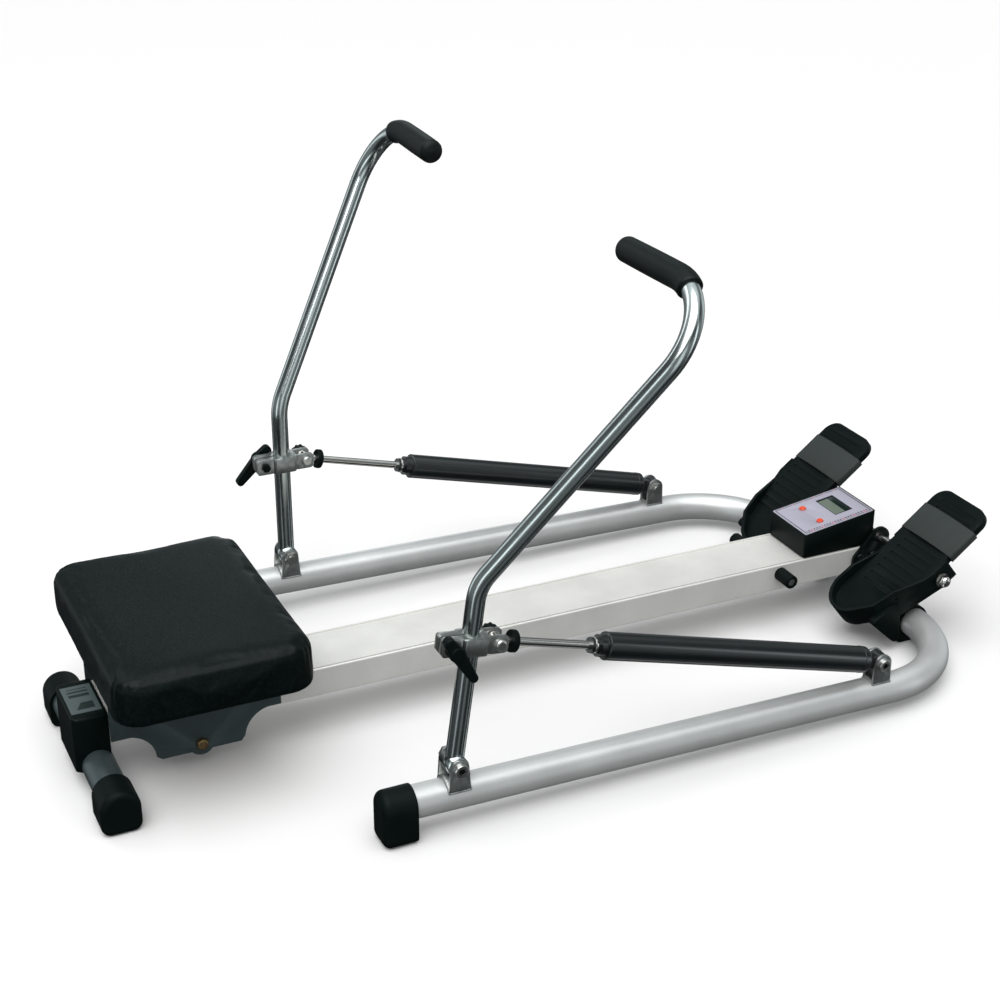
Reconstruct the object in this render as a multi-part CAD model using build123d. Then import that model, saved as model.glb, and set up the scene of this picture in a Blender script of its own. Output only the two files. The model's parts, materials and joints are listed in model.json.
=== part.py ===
from build123d import *
import os
from math import atan2, cos, degrees, hypot, radians, sin

# Twin-arm hydraulic rowing machine, in millimetres.
# +X points to the foot plates, +Y to the rower's left, +Z up; the floor is Z = 0.
# Pieces are laid out from the seat's end of the beam, then moved back by FRAME_X so that
# the origin is under the middle of the whole machine.
# "Right" is the -Y side, "left" the +Y side.

# ---------------------------------------------------------------- driving dimensions
FRAME_X = 371.45

# U-shaped base tube
TUBE_R = 19.0
TUBE_WALL = 2.0
LEG_Y = 277.0
LEG_REAR_X = 76.0
LEG_REAR_Z = 43.0
CROSS_X = 860.0
CROSS_Z = 27.0
CORNER_R = 127.0

# Moulded caps on the base tube and the rear crossbar
CAP_INSERT = 30.0
BASE_CAP = (39.0, 42.0)
BASE_CAP_X = 65.0
CROSSBAR_CAP = (43.0, 46.0)
CROSSBAR_X = -181.7
CROSSBAR_Z = 29.8
CROSSBAR_HALF = 146.6

# Front feet on the cross part of the base tube
FOOT_Y = (122.0, 150.0)
FOOT_R = 22.0

# Main beam and its rear cover
BEAM_REAR_X = -166.0
BEAM_FRONT_X = 868.0
BEAM_WIDTH = 85.0
BEAM_BOTTOM_Z = 52.5
BEAM_TOP_Z = 88.8
BEAM_WALL = 3.0
BEAM_LIP = (2.5, 1.5)
COVER_TOP_Z = 93.0
COVER_HALF = 43.5
COVER_REACH = 25.0

# Front bracket, pedal axle and foot plates
AXLE_X = 874.0
AXLE_Z = 99.0
AXLE_R = 6.0
AXLE_HALF = 182.0
CHEEK_T = 4.0
PLATE_Y = 128.0
PLATE_TILT = 38.0
PLATE_TOP_N = 15.5
CUP_CENTRE = (-81.3, 20.2)
CUP_R = 36.0
CUP_TOP_N = 27.7
TOE_U = 101.0
TOE_WIDTH = 97.0
TOE_SHIFT = 2.5

# Console
CONSOLE_X = (757.5, 866.5)
CONSOLE_HALF = 42.0
CONSOLE_REAR_Z = 123.0
CONSOLE_SLOPE = 8.2
BUTTON_R = 4.5
BUTTON_X = 794.0
BUTTON_Y = 20.5

# Stop pegs on the beam
PEG_X = 722.5
PEG_Z = 76.0
PEG_R = 9.0
PEG_LENGTH = 28.0

# Seat and carriage
SEAT_X = (-179.0, 48.0)
SEAT_HALF_REAR = 158.0
SEAT_HALF_FRONT = 159.0
SEAT_BOTTOM_Z = 134.05
SEAT_TOP_Z = 189.0
CARRIAGE_Y = (55.0, 58.0)
CARRIAGE_TOP_Z = 134.0
LOWER_AXLE = (-65.0, 35.4)
ROLLER_R = 14.0
LOWER_ROLLER_R = 17.0
ROLLER_HALF = 28.0
UPPER_AXLE_X = (-135.0, 5.0)

# Rowing arms
PIVOT = (154.5, 80.2)
ARM_R = 10.5
ARM_WALL = 1.5
ARM_BEND = 211.0
ARM_TOP = (186.3, -90.0, 545.0)
ARM_END = (175.0, 99.0, 545.7)
BEND_R = 60.0
TOP_BEND_R = 70.0
LEAN = {"right": 7.9, "left": 0.0}
GRIP_R = 14.5

# Clamp, fork and damper
CLAMP_Z = {"right": 145.0, "left": 132.5}
FORK_X = 30.5
DAMPER_PIN = (709.7, 72.5)
DAMPER_R = 16.0
DAMPER_BODY = (22.0, 390.0)
DAMPER_NECK_END = 409.0
ROD_R = 4.8
ROD_LENGTH = 252.0
LEVER_ANGLE = {"right": -53.0, "left": -134.0}


# ---------------------------------------------------------------- helpers
def bar(start, end, radius):
    """Round bar between two points."""
    start, end = Vector(start), Vector(end)
    axis = end - start
    return Solid.make_cylinder(radius, axis.length, Plane(origin=start, z_dir=axis))


def block(x, y, z):
    """Box from three (low, high) pairs."""
    size = [hi - lo for lo, hi in (x, y, z)]
    centre = [(hi + lo) / 2 for lo, hi in (x, y, z)]
    return Pos(*centre) * Box(*size)


def plane_xz(y):
    """Sketch plane parallel to XZ whose extrusions run towards -Y."""
    return Plane(origin=(0, y, 0), x_dir=(1, 0, 0), z_dir=(0, -1, 0))


def slab(sketch, y_low, y_high):
    """Sketch in X and Z made into a plate between two Y values."""
    return extrude(plane_xz(y_high) * sketch, amount=y_high - y_low)


def disc(centre, radius):
    return Pos(*centre) * Circle(radius)


def lug(pin, radius, base, base_z):
    """Flat with a round end at pin, widening to base (x low, x high) at base_z."""
    foot = Polyline((base[0], base_z), (base[1], base_z), pin, (base[0], base_z))
    return make_hull((make_face(foot) + disc(pin, radius)).edges())


def hexagon(across_flats):
    return RegularPolygon(across_flats / 2, 6, major_radius=False)


def leg_z(x):
    """Height of the base tube's axis."""
    return LEG_REAR_Z + (CROSS_Z - LEG_REAR_Z) * (x - LEG_REAR_X) / (CROSS_X - LEG_REAR_X)


def one(shape):
    """The single solid of a shape."""
    solids = shape.solids()
    if len(solids) != 1:
        raise ValueError(f"expected one solid, found {len(solids)}")
    return solids[0]


def lean(shape, side):
    """Arm pieces are made upright at the pivot, then leaned forwards into place."""
    return Pos(PIVOT[0], -LEG_Y, PIVOT[1]) * Rot(0, LEAN[side], 0) * shape


def side_of(shape, side):
    """Pieces are made for the right side and mirrored for the left."""
    if side == "right":
        return shape
    solids = [solid.mirror(Plane.XZ) for solid in shape.solids()]
    return solids[0] if len(solids) == 1 else Compound(children=solids)


def arm_point(local, side):
    """Where a point (forward, up) of the upright arm stands once the arm leans."""
    turn = radians(LEAN[side])
    x, z = local
    return (PIVOT[0] + x * cos(turn) + z * sin(turn), PIVOT[1] - x * sin(turn) + z * cos(turn))


def fork_point(side):
    return arm_point((FORK_X, CLAMP_Z[side]), side)


# ---------------------------------------------------------------- base
def base_tube():
    path = FilletPolyline(
        (LEG_REAR_X, -LEG_Y, LEG_REAR_Z), (CROSS_X, -LEG_Y, CROSS_Z),
        (CROSS_X, LEG_Y, CROSS_Z), (LEG_REAR_X, LEG_Y, LEG_REAR_Z), radius=CORNER_R)
    start = Plane(origin=path @ 0, z_dir=path % 0)
    return one(sweep(start * (Circle(TUBE_R) - Circle(TUBE_R - TUBE_WALL)), path=path))


def cap_section(axis_z, width):
    """D-shaped outline: round over the tube, flat on the floor, tube axis at the origin."""
    half = width / 2
    outline = make_face(Polyline((-half, 0), (-half, -axis_z), (half, -axis_z), (half, 0), (-half, 0)))
    outline += Circle(half)
    corners = outline.vertices().sort_by(Axis.Y)[:2]
    return fillet(corners, 11)


def cap(outer, inward, size, rounding):
    """Moulded cap with its closed end at outer, its tube running inward."""
    length, width = size
    end = Plane(origin=outer, x_dir=Vector(inward).cross(Vector(0, 0, 1)), z_dir=inward)
    section = cap_section(outer[2], width)
    up = end.y_dir.Z
    body = extrude(end * (section if up > 0 else Rot(0, 0, 180) * section), amount=length)
    closed = body.faces().sort_by_distance(Vector(outer))[0]
    return fillet(closed.edges(), rounding)


def base_cap():
    body = cap((BASE_CAP_X, -LEG_Y, LEG_REAR_Z), (1, 0, 0), BASE_CAP, 9)
    bore = bar((LEG_REAR_X - 0.05, -LEG_Y, leg_z(LEG_REAR_X)), (160, -LEG_Y, leg_z(160)), TUBE_R + 0.1)
    return one(body - bore)


def front_foot():
    y_low, y_high = -FOOT_Y[1], -FOOT_Y[0]
    outline = disc((CROSS_X, CROSS_Z), FOOT_R)
    outline += Pos(CROSS_X, CROSS_Z / 2) * Rectangle(2 * FOOT_R, CROSS_Z)
    outline = fillet(outline.vertices().sort_by(Axis.Y)[:2], 5)
    outline -= disc((CROSS_X, CROSS_Z), TUBE_R + 0.05)
    return one(slab(outline, y_low, y_high))


def saddle_bracket(pin, radius, gap, thickness, base_half, bore):
    """Two cheeks welded to a saddle over the right leg, with a cross bore."""
    x, z = pin
    axis = [(px, -LEG_Y, leg_z(px)) for px in (x - 60, x + 60)]
    base_z = leg_z(x) + 9
    cheeks = lug((x, z), radius, (x - base_half, x + base_half), base_z)
    outer = gap / 2 + thickness
    body = slab(cheeks, -LEG_Y - outer, -LEG_Y + outer)
    body -= block((x - 60, x + 60), (-LEG_Y - gap / 2, -LEG_Y + gap / 2), (z - 100, z + 60))
    saddle = bar(*axis, TUBE_R + 3)
    saddle &= block((x - base_half, x + base_half), (-LEG_Y - outer, -LEG_Y + outer), (base_z, z))
    body = body + saddle - bar(*axis, TUBE_R + 0.02)
    return one(body - bar((x, -LEG_Y - 40, z), (x, -LEG_Y + 40, z), bore))


def socket_bolt(pin, half_grip, shank, head_r, head_h, nut):
    """Cross bolt on the right side: socket head outside, nut inside."""
    x, z = pin
    head_y = -LEG_Y - half_grip
    body = bar((x, head_y, z), (x, -LEG_Y + half_grip + nut[1] + 2, z), shank)
    head = bar((x, head_y, z), (x, head_y - head_h, z), head_r)
    rim = head.faces().sort_by(Axis.Y)[0].edges()
    head = chamfer(rim, 0.8)
    key = extrude(Plane(origin=(x, head_y - head_h, z), x_dir=(1, 0, 0), z_dir=(0, 1, 0))
                  * hexagon(head_r * 0.95), amount=head_h * 0.55)
    nut_plane = Plane(origin=(x, -LEG_Y + half_grip, z), x_dir=(1, 0, 0), z_dir=(0, 1, 0))
    return one(body + (head - key) + extrude(nut_plane * hexagon(nut[0]), amount=nut[1]))


# ---------------------------------------------------------------- beam
def main_beam():
    z_mid = (BEAM_BOTTOM_Z + BEAM_TOP_Z) / 2
    height = BEAM_TOP_Z - BEAM_BOTTOM_Z
    section = RectangleRounded(BEAM_WIDTH, height, 2.0)
    section -= RectangleRounded(BEAM_WIDTH - 2 * BEAM_WALL, height - 2 * BEAM_WALL, 1.0)
    lip_w, lip_h = BEAM_LIP
    for side in (-1, 1):
        y = side * (BEAM_WIDTH / 2 - 2.0 - lip_w / 2)
        section += Pos(y, height / 2 + lip_h / 2 - 0.5) * Rectangle(lip_w, lip_h + 1.0)
    plane = Plane(origin=(BEAM_REAR_X, 0, z_mid), x_dir=(0, 1, 0), z_dir=(1, 0, 0))
    body = extrude(plane * section, amount=BEAM_FRONT_X - BEAM_REAR_X)
    peg_hole = bar((PEG_X, -60, PEG_Z), (PEG_X, 60, PEG_Z), 3.1)
    return one(body - peg_hole)


def beam_rear_cover():
    rear = CROSSBAR_X - COVER_REACH
    front = BEAM_REAR_X
    body = block((rear, front), (-COVER_HALF, COVER_HALF), (24.0, COVER_TOP_Z))
    body = fillet(body.edges().filter_by(Axis.Z).sort_by(Axis.X)[:2], 8)
    body = fillet(body.faces().sort_by(Axis.Z)[-1].edges().sort_by(Axis.X)[:-1], 3)
    plug = block((front - 1, front + 20), (-39.0, 39.0), (BEAM_BOTTOM_Z + 3.4, BEAM_TOP_Z - 3.4))
    bore = bar((CROSSBAR_X, -80, CROSSBAR_Z), (CROSSBAR_X, 80, CROSSBAR_Z), TUBE_R + 0.05)
    recess = block((rear + 3, front - 3), (-31.0, 31.0), (COVER_TOP_Z - 0.5, COVER_TOP_Z + 1))
    return one(body + plug - bore - recess)


def beam_label_plate():
    rear = CROSSBAR_X - COVER_REACH
    return one(block((rear + 3.2, BEAM_REAR_X - 3.2), (-30.8, 30.8), (COVER_TOP_Z - 0.5, COVER_TOP_Z + 0.5)))


def rear_crossbar():
    half = CROSSBAR_HALF - CROSSBAR_CAP[0] + CAP_INSERT
    ends = (CROSSBAR_X, -half, CROSSBAR_Z), (CROSSBAR_X, half, CROSSBAR_Z)
    return one(bar(*ends, TUBE_R) - bar(*ends, TUBE_R - TUBE_WALL))


def crossbar_cap():
    body = cap((CROSSBAR_X, -CROSSBAR_HALF, CROSSBAR_Z), (0, 1, 0), CROSSBAR_CAP, 7)
    inner_end = -(CROSSBAR_HALF - CROSSBAR_CAP[0] + CAP_INSERT)
    bore = bar((CROSSBAR_X, inner_end - 0.05, CROSSBAR_Z), (CROSSBAR_X, -60, CROSSBAR_Z), TUBE_R + 0.1)
    return one(body - bore)


def stop_pegs():
    pegs = []
    for side in (-1, 1):
        root, tip = side * (BEAM_WIDTH / 2 + 0.02), side * (BEAM_WIDTH / 2 + PEG_LENGTH)
        peg = bar((PEG_X, root, PEG_Z), (PEG_X, tip, PEG_Z), PEG_R)
        peg = chamfer(peg.faces().sort_by_distance(Vector(PEG_X, tip, PEG_Z))[0].edges(), 1.2)
        peg -= bar((PEG_X, tip, PEG_Z), (PEG_X, tip - side * 5, PEG_Z), 5.2)
        pegs.append(peg - bar((PEG_X, root, PEG_Z), (PEG_X, tip, PEG_Z), 3.05))
    return Compound(children=[one(peg) for peg in pegs])


def stop_screws():
    screws = []
    for side in (-1, 1):
        tip = side * (BEAM_WIDTH / 2 + PEG_LENGTH - 5)
        shank = bar((PEG_X, side * 32, PEG_Z), (PEG_X, tip, PEG_Z), 3.0)
        head = bar((PEG_X, tip, PEG_Z), (PEG_X, tip + side * 3.5, PEG_Z), 5.0)
        screws.append(one(shank + head))
    return Compound(children=screws)


def front_bracket():
    half = BEAM_WIDTH / 2 + 0.1
    outline = make_hull((disc((CROSS_X, CROSS_Z), 27) + disc((AXLE_X, AXLE_Z), 15)
                         + disc((CROSS_X - 14, 72), 12)).edges())
    body = slab(outline, -half - CHEEK_T, half + CHEEK_T)
    body -= block((780, 960), (-half, half), (-10, 200))
    floor = block((CROSS_X - 18, CROSS_X + 18), (-half - 0.5, half + 0.5), (40.0, BEAM_BOTTOM_Z - 0.02))
    body += floor
    body -= bar((CROSS_X, -100, CROSS_Z), (CROSS_X, 100, CROSS_Z), TUBE_R + 0.02)
    body -= bar((AXLE_X, -100, AXLE_Z), (AXLE_X, 100, AXLE_Z), AXLE_R + 0.05)
    for x in (CROSS_X - 16, CROSS_X + 4):
        body -= bar((x, -100, 76), (x, 100, 76), 3.1)
    return one(body)


def front_bracket_bolts():
    bolts = []
    half = BEAM_WIDTH / 2 + 0.1 + CHEEK_T
    for side in (-1, 1):
        for x in (CROSS_X - 16, CROSS_X + 4):
            shank = bar((x, side * (half + 0.5), 76), (x, side * (half - CHEEK_T + 0.1), 76), 3.0)
            head = bar((x, side * half, 76), (x, side * (half + 3.2), 76), 5.5)
            rim = head.faces().sort_by_distance(Vector(x, side * (half + 3.2), 76))[0].edges()
            bolts.append(one(fillet(rim, 1.8) + shank))
    return Compound(children=bolts)


# ---------------------------------------------------------------- console
def console_plane(drop=0.0):
    """Plane of the console's sloping top, lowered by drop along its normal."""
    turn = radians(CONSOLE_SLOPE)
    normal = Vector(-sin(turn), 0, cos(turn))
    origin = Vector(CONSOLE_X[0], 0, CONSOLE_REAR_Z) - normal * drop
    return Plane(origin=origin, x_dir=(cos(turn), 0, sin(turn)), z_dir=normal)


def console_u(x):
    """Distance along the sloping top for a given X."""
    return (x - CONSOLE_X[0]) / cos(radians(CONSOLE_SLOPE))


def console_body():
    x0, x1 = CONSOLE_X
    rise = (x1 - x0) * sin(radians(CONSOLE_SLOPE)) / cos(radians(CONSOLE_SLOPE))
    floor_z = BEAM_TOP_Z + BEAM_LIP[1] + 0.02
    outline = Polyline((x0, floor_z), (x1, floor_z), (x1, CONSOLE_REAR_Z + rise), (x0, CONSOLE_REAR_Z),
                       (x0, floor_z))
    body = slab(make_face(outline), -CONSOLE_HALF, CONSOLE_HALF)
    body = fillet(body.edges().filter_by(Axis.Z), 3)
    length = console_u(x1)
    face = Pos(length / 2, 0) * RectangleRounded(length - 4, 2 * CONSOLE_HALF - 4, 2)
    body -= extrude(console_plane(1.0) * face, amount=5)
    window = Pos(console_u(832), 4) * Rectangle(29, 50)
    body -= extrude(console_plane(3.0) * window, amount=6)
    for y in (-BUTTON_Y, BUTTON_Y):
        body -= extrude(console_plane(9.0) * disc((console_u(BUTTON_X), y), BUTTON_R + 0.4), amount=12)
    return one(body)


def console_face():
    length = console_u(CONSOLE_X[1])
    face = Pos(length / 2, 0) * RectangleRounded(length - 4.4, 2 * CONSOLE_HALF - 4.4, 2)
    face -= Pos(console_u(832), 4) * Rectangle(27, 48)
    for y in (-BUTTON_Y, BUTTON_Y):
        face -= disc((console_u(BUTTON_X), y), BUTTON_R + 0.3)
    return one(extrude(console_plane(0.98) * face, amount=1.2))


def console_display():
    return one(extrude(console_plane(2.98) * Pos(console_u(832), 4) * Rectangle(28.6, 49.6), amount=1.9))


def console_button(y):
    shaft = extrude(console_plane(6.0) * disc((console_u(BUTTON_X), y), BUTTON_R), amount=8.0)
    return one(fillet(shaft.faces().sort_by(Axis.Z)[-1].edges(), 1.0))


# ---------------------------------------------------------------- seat
def seat_outline(inset=0.0):
    x0, x1 = SEAT_X[0] + inset, SEAT_X[1] - inset
    rear, front = SEAT_HALF_REAR - inset, SEAT_HALF_FRONT - inset
    corners = [(x0, -rear), (x1, -front), (x1, front), (x0, rear)]
    return fillet(make_face(Polyline(*corners, corners[0])).vertices(), 32 - inset * 0.4)


def seat_cushion():
    body = extrude(Plane.XY.offset(SEAT_BOTTOM_Z) * seat_outline(), amount=SEAT_TOP_Z - SEAT_BOTTOM_Z)
    body = fillet(body.faces().sort_by(Axis.Z)[-1].edges(), 14)
    body = fillet(body.faces().sort_by(Axis.Z)[0].edges(), 6)
    pocket = extrude(Plane.XY.offset(SEAT_BOTTOM_Z - 1) * seat_outline(13.6), amount=13.3)
    return one(body - pocket)


def seat_board():
    return one(extrude(Plane.XY.offset(CARRIAGE_TOP_Z + 0.02) * seat_outline(14), amount=12))


def carriage_side():
    """Side plate outline in X and Z."""
    edge = [
        Polyline((32, CARRIAGE_TOP_Z), (-168, CARRIAGE_TOP_Z), (-168, 64), (-146, 64)),
        ThreePointArc((-146, 64), (-127, 53), (-118, 31)),
        Polyline((-118, 31), (-112, 26.5), (-18, 26.5), (-13, 33)),
        ThreePointArc((-13, 33), (-3, 54), (17, 64)),
        Polyline((17, 64), (32, 64), (32, CARRIAGE_TOP_Z)),
    ]
    return make_face(edge) + disc(LOWER_AXLE, 15)


def upper_axle_z():
    return BEAM_TOP_Z + ROLLER_R + 0.05


def seat_carriage():
    inner, outer = CARRIAGE_Y
    body = slab(carriage_side(), -outer, outer)
    body -= block((-300, 100), (-inner, inner), (0, CARRIAGE_TOP_Z - 3))
    for x in UPPER_AXLE_X:
        body -= bar((x, -80, upper_axle_z()), (x, 80, upper_axle_z()), 4.02)
    return one(body - bar((LOWER_AXLE[0], -80, LOWER_AXLE[1]), (LOWER_AXLE[0], 80, LOWER_AXLE[1]), 4.02))


def axle_places():
    return [(x, upper_axle_z()) for x in UPPER_AXLE_X] + [LOWER_AXLE]


def carriage_axles():
    outer = CARRIAGE_Y[1]
    axles = []
    for x, z in axle_places():
        body = bar((x, -outer - 3, z), (x, outer + 8, z), 4.0)
        head = bar((x, -outer - 5, z), (x, -outer, z), 7.0)
        rim = head.faces().sort_by(Axis.Y)[0].edges()
        axles.append(one(body + fillet(rim, 2.2)))
    return Compound(children=axles)


def carriage_nuts():
    outer = CARRIAGE_Y[1]
    nuts = []
    for x, z in axle_places():
        plane = Plane(origin=(x, outer, z), x_dir=(1, 0, 0), z_dir=(0, 1, 0))
        nuts.append(one(extrude(plane * (hexagon(13) - Circle(4.02)), amount=6)))
    return Compound(children=nuts)


def roller(x, z, radius):
    body = bar((x, -ROLLER_HALF, z), (x, ROLLER_HALF, z), radius)
    body = chamfer(body.edges().filter_by(GeomType.CIRCLE), 1.0)
    groove = bar((x, -ROLLER_HALF + 8, z), (x, ROLLER_HALF - 8, z), radius + 1)
    groove -= bar((x, -ROLLER_HALF, z), (x, ROLLER_HALF, z), radius - 1.5)
    body -= groove
    return one(body - bar((x, -ROLLER_HALF - 1, z), (x, ROLLER_HALF + 1, z), 4.05))


# ---------------------------------------------------------------- arms
def arm_path():
    return FilletPolyline((0, 0, 0), (0, 0, ARM_BEND), ARM_TOP, ARM_END, radius=[BEND_R, TOP_BEND_R])


def arm_tube():
    path = arm_path()
    section = Plane(origin=path @ 0, z_dir=path % 0)
    tube = sweep(section * Circle(ARM_R), path=path)
    bore = sweep(section * Circle(ARM_R - ARM_WALL), path=path)
    tube -= bore
    sleeve = bar((0, -13.3, 0), (0, 13.3, 0), 12.0)
    return one(tube + sleeve - bar((0, -20, 0), (0, 20, 0), 5.05))


def grip():
    path = arm_path()
    bend, straight = path.edges()[-2], path.edges()[-1]
    covered = Wire([bend.trim(0.78, 1.0), straight])
    start = Plane(origin=covered @ 0, z_dir=covered % 0)
    body = sweep(start * Circle(GRIP_R), path=covered)
    end = Vector(ARM_END)
    along = Vector(straight % 1)
    body += bar(end - along * 0.5, end + along * 7, GRIP_R)
    tip = body.faces().sort_by_distance(end + along * 7)[0]
    body = fillet(tip.edges(), 6.5)
    hollow = sweep(start * Circle(ARM_R + 0.05), path=covered)
    return one(body - hollow)


def clamp(side):
    """Split clamp round the arm with a fork in front and ears behind."""
    z = CLAMP_Z[side]
    low, high = z - 10, z + 10
    body = fillet(block((-14, 16), (-15, 15), (low, high)).edges().filter_by(Axis.Z), 4)
    body += fillet(block((-36, -9), (-11, 11), (low, high)).edges().filter_by(Axis.Y), 3)
    fork = block((12, FORK_X + 9.5), (-11.5, 11.5), (low, high))
    body += fillet(fork.edges().filter_by(Axis.Y).sort_by(Axis.X)[-2:], 5)
    body -= block((17.5, 60), (-7, 7), (low - 20, high + 20))
    for low_y, high_y in ((-20, -10.6), (10.6, 20)):
        body -= block((16.02, 18.4), (low_y, high_y), (low - 20, high + 20))
    body -= block((-60, -5), (-1.2, 1.2), (low - 5, high + 5))
    body -= bar((0, 0, low - 30), (0, 0, high + 30), ARM_R + 0.02)
    body -= bar((FORK_X, -30, z), (FORK_X, 30, z), 4.05)
    return one(body - bar((-25, -40, z), (-25, 40, z), 3.05))


def clamp_lever(side):
    """Tightening screw across the rear ears, with a moulded lever on its outer end."""
    x, z = -25.0, CLAMP_Z[side]
    screw = bar((x, -14, z), (x, 14.5, z), 3.0)
    nut_plane = Plane(origin=(x, 11.1, z), x_dir=(1, 0, 0), z_dir=(0, 1, 0))
    screw += extrude(nut_plane * hexagon(10), amount=4)
    hub = bar((x, -11.4, z), (x, -27, z), 9.0)
    hub = fillet(hub.faces().sort_by(Axis.Y)[0].edges(), 2.5)
    handle = make_hull((disc((0, 0), 8) + disc((38, 0), 5)).edges())
    handle += make_hull((disc((0, 0), 8) + disc((-16, 0), 6)).edges())
    wing = Pos(x, 0, z) * Rot(0, -LEVER_ANGLE[side], 0) * slab(handle, -26, -16)
    wing = fillet(wing.faces().sort_by(Axis.Y)[0].edges(), 2)
    return one(screw + hub + wing)


def knob_side(side):
    """Both knobs are on +Y, which is +Y before the left arm's pieces are mirrored to -Y."""
    return 1 if side == "right" else -1


def yoke_bolt(side):
    """Fork screws: a dome head on one cheek and a short shank in each cheek."""
    s, z = knob_side(side), CLAMP_Z[side]
    outer = bar((FORK_X, -7.2 * s, z), (FORK_X, -12 * s, z), 4.0)
    head = bar((FORK_X, -11.5 * s, z), (FORK_X, -16 * s, z), 6.8)
    crown = head.faces().sort_by_distance(Vector(FORK_X, -16 * s, z))[0]
    inner = bar((FORK_X, 7.2 * s, z), (FORK_X, 13 * s, z), 4.0)
    return Compound(children=[one(outer + fillet(crown.edges(), 2.5)), one(inner)])


def yoke_knob(side):
    s, z = knob_side(side), CLAMP_Z[side]
    knob = bar((FORK_X, 11.52 * s, z), (FORK_X, 23 * s, z), 11.0)
    knob = fillet(knob.faces().sort_by_distance(Vector(FORK_X, 23 * s, z))[0].edges(), 3)
    return one(knob - bar((FORK_X, 11 * s, z), (FORK_X, 13.02 * s, z), 4.05))


# ---------------------------------------------------------------- dampers
def damper_plane(side):
    """X runs from the front pin to the fork pin, Y across the machine."""
    bx, bz = fork_point(side)
    fx, fz = DAMPER_PIN
    return Plane(origin=(fx, -LEG_Y, fz), x_dir=(bx - fx, 0, bz - fz), z_dir=(fz - bz, 0, bx - fx))


def damper_length(side):
    bx, bz = fork_point(side)
    return hypot(bx - DAMPER_PIN[0], bz - DAMPER_PIN[1])


def damper_cylinder():
    """Made along +X from its front pin at the origin."""
    start, end = DAMPER_BODY
    body = bar((start, 0, 0), (end, 0, 0), DAMPER_R)
    body = fillet(body.edges().filter_by(GeomType.CIRCLE), 2.5)
    body += bar((end - 1, 0, 0), (end + 9, 0, 0), 12.5)
    body += bar((end, 0, 0), (DAMPER_NECK_END, 0, 0), 9.0)
    body += bar((0, -7, 0), (0, 7, 0), 11.0) + block((0, start + 6), (-7, 7), (-8, 8))
    body -= bar((40, 0, 0), (DAMPER_NECK_END + 5, 0, 0), ROD_R + 0.05)
    return one(body - bar((0, -20, 0), (0, 20, 0), 5.05))


def damper_rod(side):
    length = damper_length(side)
    body = bar((length - 6, 0, 0), (length - ROD_LENGTH, 0, 0), ROD_R)
    body += bar((length, -6, 0), (length, 6, 0), 8.0) + bar((length - 15.9, 0, 0), (length - 5, 0, 0), 5.5)
    return one(body - bar((length, -20, 0), (length, 20, 0), 4.3))


def rod_bumper(side):
    length = damper_length(side)
    disc_solid = bar((length - 16.5, 0, 0), (length - 23.5, 0, 0), 12.5)
    disc_solid = fillet(disc_solid.edges().filter_by(GeomType.CIRCLE), 1.5)
    return one(disc_solid - bar((length, 0, 0), (length - 60, 0, 0), ROD_R + 0.02))


# ---------------------------------------------------------------- foot plates
def plate_plane(side):
    """U runs up the plate, V to +Y and N off its tread, from the axle below it."""
    turn = radians(PLATE_TILT)
    y = -PLATE_Y if side == "right" else PLATE_Y
    normal = (-sin(turn), 0, cos(turn))
    return Plane(origin=(AXLE_X, y, AXLE_Z), x_dir=(cos(turn), 0, sin(turn)), z_dir=normal)


def plate_outline(inward, offset=0.0):
    """Rear part of the plate: a round heel cup set inwards, widening to the axle bosses."""
    cu, cv = CUP_CENTRE
    bosses = Pos(8, -inward) * Rectangle(24, 98 - 2 * offset)
    cup = Pos(cu, inward * cv) * Circle(CUP_R - offset)
    corner = Pos(cu, -inward * 19) * Circle(9 - offset)
    return make_hull((bosses + cup + corner).edges())


def foot_plate(side):
    """Moulded plate with a heel cup, a skirt below, a stop leg and bosses on the axle."""
    inward = 1 if side == "right" else -1
    tread = Plane.XY.offset(PLATE_TOP_N - 9)
    toe = Pos((10 + TOE_U) / 2, inward * TOE_SHIFT) * Rectangle(TOE_U - 10, TOE_WIDTH)
    toe = fillet(toe.vertices().sort_by(Axis.X)[-2:], 20)
    body = extrude(tread * toe, amount=9) + extrude(tread * plate_outline(inward), amount=9)
    skirt = extrude(Plane.XY.offset(-13) * (plate_outline(inward) - plate_outline(inward, 3.5)), amount=21)
    under = make_face(Polyline((-130, -3), (-92, -3), (-74, -14), (-130, -14), (-130, -3)))
    rim = extrude(Plane.XY.offset(PLATE_TOP_N - 1) * (plate_outline(inward) - plate_outline(inward, 4.5)),
                  amount=CUP_TOP_N - PLATE_TOP_N + 1)
    over = make_face(Polyline((-58, 28), (-18, PLATE_TOP_N), (60, PLATE_TOP_N), (60, 28), (-58, 28)))
    body += (skirt - slab(under, -80, 80)) + (rim - slab(over, -80, 80))
    leg = make_hull((disc((-96, 8), 6) + disc((-66, 4), 6) + disc((-89, -30), 7)).edges())
    leg_v = sorted((-inward * 24, -inward * 36))
    body += slab(leg, *leg_v)
    for v in (-42, 42):
        body += bar((0, v - 6, 0), (0, v + 6, 0), 11)
        body += block((-9, 9), (v - 6, v + 6), (0, PLATE_TOP_N - 8))
    for u in range(-60, 90, 12):
        body -= block((u, u + 3), (-34 - inward, 34 - inward), (PLATE_TOP_N - 1.2, PLATE_TOP_N + 1))
    return one(body - bar((0, -80, 0), (0, 80, 0), AXLE_R + 0.05))


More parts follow.
